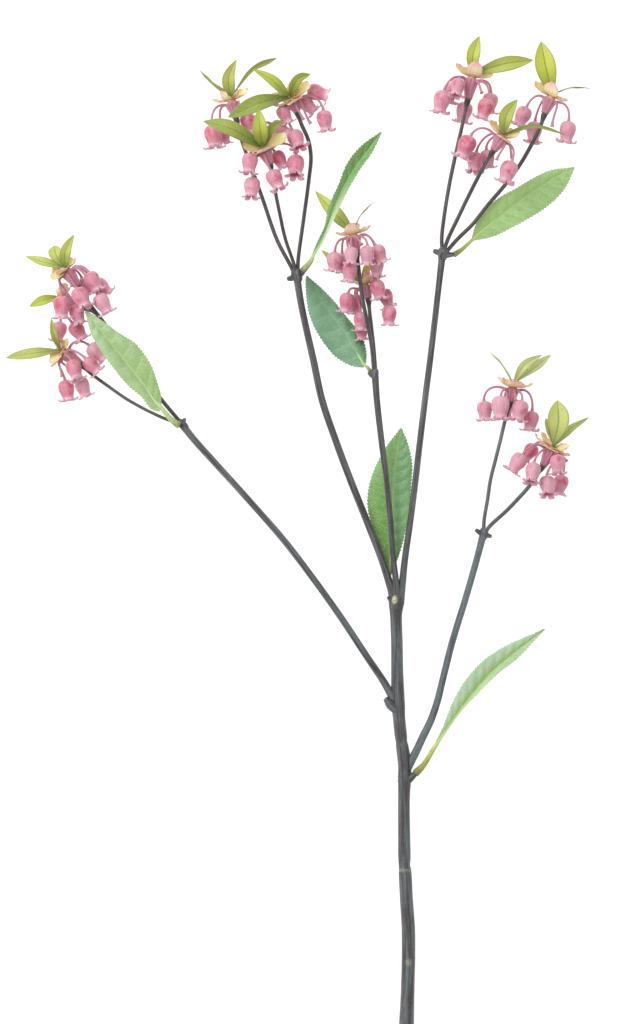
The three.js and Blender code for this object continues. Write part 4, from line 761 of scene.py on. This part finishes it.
def cupped_blade(piece, centre, side, half, fold, power, wall, wave, tone, mark=0.0):
    """A thin blade: at each step across it the surface lies the fold times the half width above the
    centre line, by a power of the share of the way to the edge, plus a slow wave that grows towards
    the edge. The upper and under faces lie half the wall's thickness either way, less at the edge and
    the tip."""
    forward = unit(np.gradient(centre, axis=0))
    across = unit(side - (forward * side).sum(1)[:, None] * forward)
    face = np.cross(across, forward)[:, None]
    u = np.linspace(-1, 1, BLADE_COLUMNS)[None]
    s = np.linspace(0, 1, len(centre))[:, None]
    half = half[:, None]
    rise = fold * half * np.abs(u) ** power
    rise = rise + wave * np.abs(u) ** 3 * np.sin(s * 11 + 2 * np.sign(u) + 5 * tone) * np.sin(np.pi * s)
    surface = centre[:, None] + across[:, None] * (half * u)[..., None] + face * rise[..., None]
    thin = wall / 2 * (1 - 0.6 * np.abs(u) ** 4) * np.clip((1.02 - s) * 8, 0.25, 1)
    two_faced(piece, surface, face * thin[..., None], u, s, mark, tone)


def two_faced(piece, surface, lift, u, s, mark, tone):
    """Closes a blade: its surface lifted to the upper face, then the other way to the under face."""
    rings = np.concatenate([surface + lift, (surface - lift)[:, ::-1]], 1)
    place = np.concatenate([on_surface(u, s, 0.0), on_surface(u[:, ::-1], s, 1.0)], 1)
    piece.add(rings, place, mark, tone)


def plug(piece, low, high, foot_radius, top_radius):
    """A short round core that closes in a dome: what the blades of a whorl or shoot stand on."""
    axis, points, height, dome = core("plug", low, high, PLUG_DOME)
    angle = circle("plug")
    radius = (foot_radius + (top_radius - foot_radius) * height) * np.sqrt(1 - dome ** 2)
    piece.add(ringed(points, axis, radius, angle), on_surface(np.cos(angle), 0.02 * height, 0.0))


def bracts(letter, cluster):
    """The whorl of bracts on its short plug: each is as wide as part of a sine, broad at its foot, where
    it clasps the plug, and rounds off to a short tip. A bract that faces up is flatter."""
    piece = Piece()
    foot, top = np.array(cluster["cone"], float)
    axis = unit(top - foot)
    low = top + axis * GAP
    plug(piece, low - axis * GAP, low + axis * WHORL_HEIGHT, *WHORL_PLUG)
    middle = low + axis * WHORL_HEIGHT * BRACT["seat"]
    phase, run, rounds = BRACT["outline"]
    for number, (x, y, z, width) in enumerate(cluster["bracts"]):
        tip = np.array([x, y, z], float)
        out = outwards(tip - middle, axis)
        base = middle + out * BRACT["inset"]
        sag = BRACT["sag"] * np.linalg.norm(tip - base)
        belly = base + (tip - base) * BRACT["belly"] + (out - axis) * sag
        t = np.sin(np.linspace(0, 1, STEPS["bract"]) * np.pi / 2) ** 0.9
        centre = np.stack([(1 - t) ** 2, 2 * t * (1 - t), t ** 2], 1) @ np.array([base, belly, tip])
        outline = np.sin(np.pi * (phase + run * t)) ** 0.6
        rounded = np.sqrt(np.clip(1 - np.clip((t - rounds) / (1 - rounds), 0, 1) ** 2.2, 0.0004, 1))
        twist = np.radians(TWISTED_BRACTS.get((letter, number), 0) * (0.3 + 0.7 * t))[:, None]
        side = turned(np.cross(axis, out), unit(tip - base), twist)
        cup = BRACT["cup"] * (1 - BRACT["flatter"] * max(out[2], 0.0))
        cupped_blade(piece, centre, side, width / 2 * outline * rounded, -cup,
                     BRACT["power"], BRACT["wall"], BRACT["wave"], rng.uniform(-0.5, 0.5))
    piece.build("bract_whorl_" + letter, "bracts_" + letter, "bract", FINISHES["bract"])


def young_leaves(letter, cluster):
    """The new shoot's leaves on its bud. A leaf's outline is a sine over a power of the length, which
    puts its widest place where the table says."""
    piece = Piece()
    foot, top = np.array(cluster["cone"], float)
    axis = unit(top - foot)
    low = top + axis * (2 * GAP + WHORL_HEIGHT)
    plug(piece, low, low + axis * SHOOT_HEIGHT, *SHOOT_PLUG)
    middle = low + axis * SHOOT_HEIGHT * YOUNG_LEAF["seat"]
    s = np.linspace(0, 1, STEPS["young_leaf"])
    for *places, width, roll, age, fullest in cluster["leaves"]:
        bend, tip = np.reshape(places, (2, 3)).astype(float)
        base = middle + outwards(bend - middle, axis) * YOUNG_LEAF["inset"]
        forward = unit(tip - base)
        side = turned(unit(np.cross(forward, UP)), forward, np.radians(roll))
        power = np.log(0.5) / np.log(fullest)
        outline = np.sin(np.pi * np.minimum(s, 0.9999) ** power) ** 0.85 + YOUNG_LEAF["foot"] * (1 - s)
        half = np.maximum(width / 2 * outline, YOUNG_LEAF["least"])
        centre = smooth_route([base, bend, tip], s)
        cupped_blade(piece, centre, side, half, YOUNG_LEAF["fold"], YOUNG_LEAF["power"], YOUNG_LEAF["wall"],
                     YOUNG_LEAF["wave"], age, PALE_SHOOTS.get(letter, 0.0))
    piece.build("new_leaves_" + letter, "young_leaves_" + letter, "young_leaf", FINISHES["young leaf"])


# Grown leaves

def grown_leaf(name, leaf):
    """A toothed leaf: from the midrib each half runs straight to its edge, bulged by a sine and
    quilted between its side veins. The edge steps in along each tooth and out again at its tip. Its
    midrib stands out underneath, and its stalk runs on under the blade."""
    piece = Piece()
    s = np.linspace(0, 1, STEPS["leaf"])
    midrib = smooth_route(leaf["middle"], s)
    forward = unit(np.gradient(midrib, axis=0))
    edges = [smooth_route(leaf[key], s) for key in ("left", "right")]
    face = unit(np.cross(unit(edges[1] - edges[0]), forward))[:, None]
    length = travelled(midrib)[-1]
    veins = round(length / VEIN["spacing"])
    grown = np.clip(s / TOOTH["grown_at"], 0, 1) ** 2
    s = s[:, None]
    u = np.linspace(0, 1, LEAF_COLUMNS)[None]
    halves, marks = [], []
    for key, edge in enumerate(edges):
        inwards = midrib - edge
        wide = np.linalg.norm(inwards, axis=1)
        inset = (1 - (travelled(edge) / TOOTH["pitch"]) % 1) * TOOTH["depth"] * grown
        step = np.minimum(inset, 0.3 * wide) - TOOTH["proud"] * grown
        edge = edge + inwards / np.maximum(wide, 0.01)[:, None] * step[:, None]
        wide = np.linalg.norm(midrib - edge, axis=1)[:, None]
        rank = s * veins - VEIN["sweep"] * u ** 1.3 + 0.5 * key
        off_vein = np.abs(rank - np.round(rank)) * length / veins
        side_vein = np.exp(-(off_vein / VEIN["width"]) ** 2) * (1 - u ** 6) * np.clip(s / 0.06, 0, 1)
        main_vein = np.exp(-(u * wide / (0.75 - 0.45 * s)) ** 2)
        vein = np.maximum(VEIN["side"] * side_vein, main_vein)
        quilt = (QUILT * np.cos(2 * np.pi * rank) * np.sin(np.pi * np.minimum(u * 1.15, 1))
                 * np.minimum(wide / 8, 1))
        lift = BULGE * wide * np.sin(np.pi * u) - quilt - VEIN["sunk"] * vein
        lift = lift + leaf["ruffle"] * u ** 3 * np.sin(s * 14 + 2.6 * key) * np.sin(np.pi * s)
        halves.append(midrib[:, None] + (edge - midrib)[:, None] * u[..., None] + face * lift[..., None])
        marks.append(vein)
    surface, mark = (np.concatenate([left[:, :0:-1], right], 1) for left, right in (halves, marks))
    across = np.concatenate([-u[:, :0:-1], u], 1)
    thin = LEAF_WALL / 2 * (1 - 0.5 * np.abs(across) ** 6)
    mark = np.concatenate([mark, mark[:, ::-1]], 1)
    two_faced(piece, surface, face * thin[..., None], across, s, mark, 0.0)
    t = np.linspace(0, RIB["end"], STEPS["midrib"])
    rib = smooth_route(leaf["middle"], t) - face.mean(0) * RIB["sunk"]
    angle = circle("midrib")
    rings = tube(rib, np.linspace(*RIB["radii"], len(t))[:, None], angle)
    piece.add(rings, on_surface(0 * angle, t[:, None], 0.5), 1.0)
    t = np.linspace(0, 1, STEPS["petiole"])
    along, sunk = np.array(STALK_UNDER_BLADE).T
    stem = leaf["petiole"]
    points = smooth_route([*stem["route"], *smooth_route(leaf["middle"], along) - face[0] * sunk[:, None]], t)
    t = t[:, None]
    radii = stem["radius"] * (0.2 + 0.95 * (1 - t) ** 1.3 + 0.25 * np.exp(-(t / 0.12) ** 2))
    angle = circle("petiole")
    piece.add(tube(points, radii, angle), on_surface(np.cos(angle), t, 0.0), t, stem["yellow"], finish=1)
    green = leaf_blade(name, **leaf["colours"])
    piece.build("blade_" + name, name, "mature_leaf", green, FINISHES["petiole"])


# Materials. Each reads "place", "mark" and "tone" as its pieces set them: on wood the place round and
# along the stem in millimetres, how pale and how waxy it is; on bells the lobe, the share of the way
# down and the inside, how curled and how rosy; on blades the share of the way across and along and
# the under face, how pale or how close to a vein, and the age.

def linear(hex_colour):
    """An sRGB hex value as linear light with full alpha."""
    value = np.array([int(hex_colour[k:k + 2], 16) for k in (1, 3, 5)]) / 255
    light = np.where(value <= 0.04045, value / 12.92, ((value + 0.055) / 1.055) ** 2.4)
    return (*light, 1.0)


def add(tree, kind, inputs=(), stops=(), **settings):
    """Adds a node and gives back its outputs. inputs gives its sockets a value, a hex colour or
    another node's output; stops fill a colour ramp."""
    made = tree.nodes.new("ShaderNode" + kind)
    for key, value in settings.items():
        setattr(made, key, value)
    for socket, value in dict(inputs).items():
        if isinstance(value, bpy.types.NodeSocket):
            tree.links.new(value, made.inputs[socket])
        else:
            made.inputs[socket].default_value = linear(value) if isinstance(value, str) else value
    for position, _ in stops[1:-1]:
        made.color_ramp.elements.new(position)
    for element, (position, colour) in zip(made.color_ramp.elements if stops else (), stops):
        element.position, element.color = position, linear(colour)
    return made.outputs


def finish_named(name, **shader):
    """A new material with its Principled shader's own sockets set, and its node tree."""
    material = bpy.data.materials.new(name)
    material.use_nodes = True
    tree = material.node_tree
    sockets = tree.nodes["Principled BSDF"].inputs
    for socket, value in shader.items():
        sockets[socket.replace("_", " ")].default_value = linear(value) if isinstance(value, str) else value
    return material, tree


def carried(tree, *keys):
    """What the pieces carry at every point, for each key: "place", "mark" or "tone"."""
    return [add(tree, "Attribute", attribute_name=key)["Vector" if key == "place" else "Fac"] for key in keys]


def painted(tree, colour, *tints):
    """Tints laid over a colour in turn. Each row is a tint, its strength, and values with the low and
    high end of a smooth step from 0 to 1. A tint's share is its strength times all of its steps."""
    for tint, share, *steps in tints:
        for value, low, high in steps:
            share = add(tree, "MapRange", {0: value, 1: low, 2: high, 4: share},
                        interpolation_type="SMOOTHSTEP")[0]
        colour = add(tree, "Mix", {0: share, 6: colour, 7: tint}, data_type="RGBA")[2]
    return colour


def speckle(tree, vector, stretch=(1.0, 1.0, 1.0), scale=1.0, detail=3.0):
    """A cloudy pattern in the given coordinates, each axis multiplied by its own stretch."""
    moved = add(tree, "Mapping", {"Vector": vector, "Scale": stretch})[0]
    return add(tree, "TexNoise", {"Vector": moved, "Scale": scale, "Detail": detail, "Roughness": 0.6})["Fac"]


def coated(material, colour, relief, strength, depth):
    """Puts the colour and the relief, with its strength and its depth in metres, on the shader."""
    tree = material.node_tree
    sockets = tree.nodes["Principled BSDF"].inputs
    tree.links.new(colour, sockets["Base Color"])
    bump = add(tree, "Bump", {"Height": relief, "Strength": strength, "Distance": depth})
    tree.links.new(bump[0], sockets["Normal"])
    return material


def bark():
    """Young enkianthus bark, dried smooth: grey-brown with lengthwise streaks of blue-grey wax and
    red-brown, which the eye reads as fine wood grain, and a soft waxy shine along its top; scars and
    bud rings are buff."""
    material, tree = finish_named(
        "young_bark", Roughness=0.42, IOR=1.5, Sheen_Weight=0.3, Sheen_Roughness=0.35)
    place, mark, tone = carried(tree, "place", "mark", "tone")
    grain = speckle(tree, place, (1.1, 1.1, 0.05), detail=5.0)
    wax = speckle(tree, place, (0.7, 0.7, 0.035))
    rust = speckle(tree, place, (0.55, 0.55, 0.09))
    fine = speckle(tree, place, (4.0, 4.0, 0.9), detail=2.0)
    streaks = add(tree, "ValToRGB", {0: grain}, stops=(
        (0.28, "#1c1b1d"), (0.43, "#2f2e31"), (0.56, "#4b494b"), (0.72, "#7c797a")))[0]
    reach = add(tree, "Math", {0: tone, 1: 0.5, 2: wax}, operation="MULTIPLY_ADD")[0]
    rough = add(tree, "Math", {0: fine, 1: 1.4, 2: 0.35}, operation="MULTIPLY_ADD")[0]
    worn = add(tree, "Math", {0: mark, 1: rough}, operation="MULTIPLY")[0]
    colour = painted(
        tree, streaks,
        ("#6c7a7d", 0.75, (reach, 0.56, 0.86)),
        ("#4e3537", 0.6, (rust, 0.5, 0.66)),
        ("#5c5146", 0.4, (rust, 0.56, 0.4), (tone, 0.45, 0.1)),
        ("#7e7d7b", 0.5, (fine, 0.55, 0.72)),
        ("#cfca9c", 0.85, (worn, 0.1, 0.9)),
        ("#3a3c31", 0.75, (mark, -0.1, -0.8)))
    relief = add(tree, "Math", {0: fine, 1: 0.4, 2: grain}, operation="MULTIPLY_ADD")[0]
    return coated(material, colour, relief, 0.6, 0.00025)


def corolla():
    """Fresh petal, waxy and a little see-through: dusty pink with rosy clouds round its belly, fine
    streaks, a painted highlight that makes the raised ribs paler, a deeper lining, and greyish mauve on the
    curled lobe tips."""
    material, tree = finish_named(
        "petal", Roughness=0.48, IOR=1.4, Subsurface_Weight=0.35, Subsurface_Scale=0.002,
        Subsurface_Radius=(1.0, 0.35, 0.4), Sheen_Weight=0.6, Sheen_Roughness=0.35, Sheen_Tint="#f6dfe6")
    place, mark, tone = carried(tree, "place", "mark", "tone")
    around, along, inside = add(tree, "SeparateXYZ", {0: place})
    body = add(tree, "ValToRGB", {0: along}, stops=(
        (0.0, "#cb8c9f"), (0.12, "#dd9fae"), (0.3, "#d8899b"), (0.48, "#db91a3"), (0.62, "#e8b6c5"),
        (1.0, "#dcbfcc")))[0]
    cloud = speckle(tree, add(tree, "TexCoord")["Object"], scale=260.0)
    rosy = add(tree, "Math", {0: tone, 1: 0.09, 2: cloud}, operation="MULTIPLY_ADD")[0]
    streak = speckle(tree, place, (4.5, 1.6, 1.0))
    turn = add(tree, "Math", {0: around, 1: 2 * np.pi}, operation="MULTIPLY")[0]
    # Highest on the raised rib in the middle of each lobe, where a highlight is painted
    rib_highlight = add(tree, "Math", {0: turn}, operation="COSINE")[0]
    lining = add(tree, "Math", {0: inside, 1: 0.35}, operation="MULTIPLY")[0]
    colour = painted(
        tree, body,
        ("#e4b2bf", 0.75, (tone, 0.1, -1.5)),
        ("#c95166", 0.72, (rosy, 0.43, 0.62), (along, 0.06, 0.22), (along, 0.56, 0.4)),
        # Painted highlight: the raised ribs are painted paler, as if they caught the light
        ("#ebc0cb", 0.16, (rib_highlight, 0.5, 1.0)),
        ("#bd5775", 0.38, (streak, 0.46, 0.66), (along, 0.7, 0.5)),
        ("#bb9fb1", 0.6, (mark, 0.45, 0.95)),
        ("#cb7488", lining))
    return coated(material, colour, speckle(tree, place, (7.0, 1.5, 1.0)), 0.35, 0.0002)


def stalk():
    """Flower stalks and their swollen base: mauve-pink, with red-brown streaks between the ribs."""
    material, tree = finish_named("flower_stalk", Roughness=0.5, IOR=1.4, Sheen_Weight=0.3)
    place, mark = carried(tree, "place", "mark")
    streak = speckle(tree, place, (3.0, 1.2, 1.0))
    pink = add(tree, "ValToRGB", {0: streak}, stops=((0.3, "#ac677a"), (0.5, "#c07e93"), (0.7, "#d3a0af")))[0]
    height = add(tree, "SeparateXYZ", {0: place})[1]
    colour = painted(tree, pink, ("#a85c68", 0.6, (mark, -0.2, -0.9)), ("#5c5a49", 0.85, (height, 0.16, 0.0)))
    return coated(material, colour, streak, 0.3, 0.0002)


def bract():
    """Papery bract: peach-cream that turns pink towards its tip outside and stays a pale yellow-green
    inside, with pink edges and veins and a foot stained brown."""
    material, tree = finish_named(
        "bract_paper", Roughness=0.55, IOR=1.4, Subsurface_Weight=0.35, Subsurface_Scale=0.001)
    place, tone = carried(tree, "place", "tone")
    across, along, inside = add(tree, "SeparateXYZ", {0: place})
    side = add(tree, "Math", {0: across}, operation="ABSOLUTE")[0]
    outer, inner = (add(tree, "ValToRGB", {0: along}, stops=stops)[0] for stops in (
        ((0.0, "#c08a72"), (0.12, "#e9d19f"), (0.36, "#f4e6bf"), (0.52, "#f2cdbb"), (0.78, "#e2a6ab"),
         (1.0, "#d9949f")),
        ((0.0, "#bb9870"), (0.12, "#e2d598"), (0.5, "#ece7b0"), (0.85, "#f6e8cc"), (1.0, "#edc2b8"))))
    cloud = speckle(tree, add(tree, "TexCoord")["Object"], scale=300.0)
    green = add(tree, "Math", {0: tone, 1: 0.2, 2: cloud}, operation="MULTIPLY_ADD")[0]
    veins = speckle(tree, place, (5.0, 0.5, 1.0))
    colour = painted(
        tree, outer,
        (inner, inside),
        ("#dedb9c", 0.35, (green, 0.46, 0.62)),
        ("#e0a5a3", 0.5, (side, 0.66, 1.0)),
        ("#d29290", 0.45, (veins, 0.5, 0.66)))
    return coated(material, colour, veins, 0.4, 0.0002)


def young_leaf():
    """Soft new leaf, satin, with fine lengthwise streaks: bright yellow-green that turns to olive with
    age, darker at the foot, along the midrib and at one edge, and pale at the other."""
    material, tree = finish_named(
        "new_leaf", Roughness=0.42, IOR=1.42, Subsurface_Weight=0.12, Subsurface_Scale=0.001)
    place, mark, tone = carried(tree, "place", "mark", "tone")
    across, along, _ = add(tree, "SeparateXYZ", {0: place})
    side = add(tree, "Math", {0: across}, operation="ABSOLUTE")[0]
    fresh, old = (add(tree, "ValToRGB", {0: along}, stops=stops)[0] for stops in (
        ((0.0, "#5c6b30"), (0.16, "#9aab42"), (0.45, "#c3cc51"), (0.85, "#b9c64c"), (1.0, "#a5b456")),
        ((0.0, "#434e2b"), (0.16, "#6b7b3e"), (0.45, "#8c9a4a"), (0.85, "#87974c"), (1.0, "#7d9057"))))
    streak = speckle(tree, place, (5.0, 0.8, 1.0))
    cloud = speckle(tree, place, (1.2, 3.0, 1.0))
    both = add(tree, "Math", {0: streak, 1: cloud}, operation="ADD")[0]
    shade = add(tree, "Math", {0: both, 1: 0.25, 2: 0.76}, operation="MULTIPLY_ADD")[0]
    green = painted(tree, fresh, (old, tone), ("#dee6bb", mark))
    slant = add(tree, "Math", {0: side, 1: -0.14, 2: along}, operation="MULTIPLY_ADD")[0]
    turn = add(tree, "Math", {0: slant, 1: 60.0}, operation="MULTIPLY")[0]
    ranks = add(tree, "Math", {0: turn}, operation="SINE")[0]
    colour = painted(
        tree, add(tree, "HueSaturation", {"Color": green, "Value": shade})[0],
        ("#5f7229", 0.62, (side, 0.12, 0.02)),
        ("#cbd873", 0.12, (ranks, 0.6, 1.0)),
        ("#75893f", 0.45, (side, 0.72, 0.95)),
        ("#d9e2a8", 0.7, (across, 0.93, 0.99)))
    relief = add(tree, "Math", {0: ranks, 1: 0.3, 2: streak}, operation="MULTIPLY_ADD")[0]
    return coated(material, colour, relief, 0.4, 0.0002)


def leaf_blade(name, left, right, vein, margin, middle, net):
    """Grown leaf, leathery and satin: a green for the foot and one for the tip of each half, mottled,
    paler along the veins and at the toothed edge, and fine netting that the eye reads as leaf grain.
    net is how plainly it shows on each half; its meshes are drawn 1.4 mm wide, coarser than real, to
    show."""
    material, tree = finish_named(
        name + "_green", Roughness=0.45, IOR=1.45, Subsurface_Weight=0.08, Subsurface_Scale=0.001)
    place, mark = carried(tree, "place", "mark")
    across, along, _ = add(tree, "SeparateXYZ", {0: place})
    side = add(tree, "Math", {0: across}, operation="ABSOLUTE")[0]
    spot = add(tree, "TexCoord")["Object"]
    wiry = add(tree, "TexVoronoi", {"Vector": spot, "Scale": 700.0}, feature="DISTANCE_TO_EDGE")["Distance"]
    near, far = (painted(tree, foot, (tip, 1.0, (along, 0.25, 0.75))) for foot, tip in (left, right))
    green = painted(tree, near, (far, 1.0, (across, -0.12, 0.12)), (middle, 0.6, (side, 0.5, 0.02)))
    shade = 0.74
    for scale, weight in ((520.0, 0.3), (150.0, 0.22)):
        mottle = speckle(tree, spot, scale=scale)
        shade = add(tree, "Math", {0: mottle, 1: weight, 2: shade}, operation="MULTIPLY_ADD")[0]
    veined = add(tree, "Math", {0: mark, 1: 0.5}, operation="MULTIPLY")[0]
    plain = add(tree, "MapRange", {0: across, 1: -0.12, 2: 0.12, 3: net[0], 4: net[1]},
                interpolation_type="SMOOTHSTEP")[0]
    colour = painted(
        tree, add(tree, "HueSaturation", {"Color": green, "Value": shade})[0],
        (vein, veined), (vein, plain, (wiry, 0.14, 0.0)), (margin, 0.6, (side, 0.93, 1.0)))
    return coated(material, colour, wiry, 0.3, 0.0003)


def petiole():
    """Leaf stalk: smooth, from soft green to yellow-green by its tone, and olive-brown where it joins
    the wood."""
    material, tree = finish_named("leaf_stalk", Roughness=0.45, IOR=1.42)
    mark, tone = carried(tree, "mark", "tone")
    cloud = speckle(tree, add(tree, "TexCoord")["Object"], scale=400.0)
    uneven = add(tree, "Math", {0: cloud, 1: 0.5}, operation="SUBTRACT")[0]
    height = add(tree, "Math", {0: uneven, 1: 0.25, 2: mark}, operation="MULTIPLY_ADD")[0]
    green, yellow = (add(tree, "ValToRGB", {0: height}, stops=stops)[0] for stops in (
        ((0.0, "#85895c"), (0.07, "#a5b97c"), (0.24, "#bed69e"), (0.55, "#c2dca4"), (1.0, "#b5d298")),
        ((0.0, "#787840"), (0.14, "#9ea148"), (0.3, "#c9d268"), (0.6, "#c9dc88"), (1.0, "#b9d28c"))))
    return coated(material, painted(tree, green, (yellow, tone)), cloud, 0.3, 0.0002)


# Studio

def studio():
    """An opal light table that glows white, white surroundings with one broad soft light from the
    upper left, and the camera straight above, so far off that it hardly narrows towards the edges."""
    scene = bpy.context.scene
    scene.view_settings.view_transform = "Standard"
    world = bpy.data.worlds.new("white_room")
    world.use_nodes = True
    background = world.node_tree.nodes["Background"]
    background.inputs["Color"].default_value = (1.0, 1.0, 1.0, 1.0)
    background.inputs["Strength"].default_value = WORLD_LIGHT
    scene.world = world
    opal, *_ = finish_named("opal_acrylic", Roughness=0.9, Base_Color=TABLE_SHADE,
                            Emission_Color="#ffffff", Emission_Strength=TABLE_GLOW)
    mesh = bpy.data.meshes.new("floor")
    mesh.from_pydata([(x * TABLE_HALF, y * TABLE_HALF, 0) for x, y in ((-1, -1), (1, -1), (1, 1), (-1, 1))],
                     [], [(0, 1, 2, 3)])
    mesh.materials.append(opal)
    floor = bpy.data.objects.new("floor", mesh)
    floor.location.z = FLOOR_HEIGHT
    scene.collection.objects.link(floor)
    lamp = bpy.data.lights.new("soft_window", "AREA")
    lamp.energy, lamp.size = WINDOW_WATTS, WINDOW_SIZE
    window = bpy.data.objects.new("soft_window", lamp)
    window.location = WINDOW_PLACE
    window.rotation_euler = (-Vector(WINDOW_PLACE)).to_track_quat("-Z", "Y").to_euler()
    scene.collection.objects.link(window)
    lens = bpy.data.cameras.new("camera")
    lens.sensor_width, lens.lens = 36.0, CAMERA_LENS
    lens.clip_start, lens.clip_end = 0.1, 40.0
    camera = bpy.data.objects.new("camera", lens)
    camera.location = CAMERA_PLACE
    scene.collection.objects.link(camera)
    scene.camera = camera


FINISHES = {"bark": bark(), "petal": corolla(), "stalk": stalk(), "bract": bract(),
            "young leaf": young_leaf(), "petiole": petiole()}
wood()
for name, leaf in BIG_LEAVES.items():
    grown_leaf(name, leaf)
for letter, cluster in CLUSTERS.items():
    blossom(letter, cluster)
    bracts(letter, cluster)
    young_leaves(letter, cluster)
studio()

bpy.context.view_layer.update()
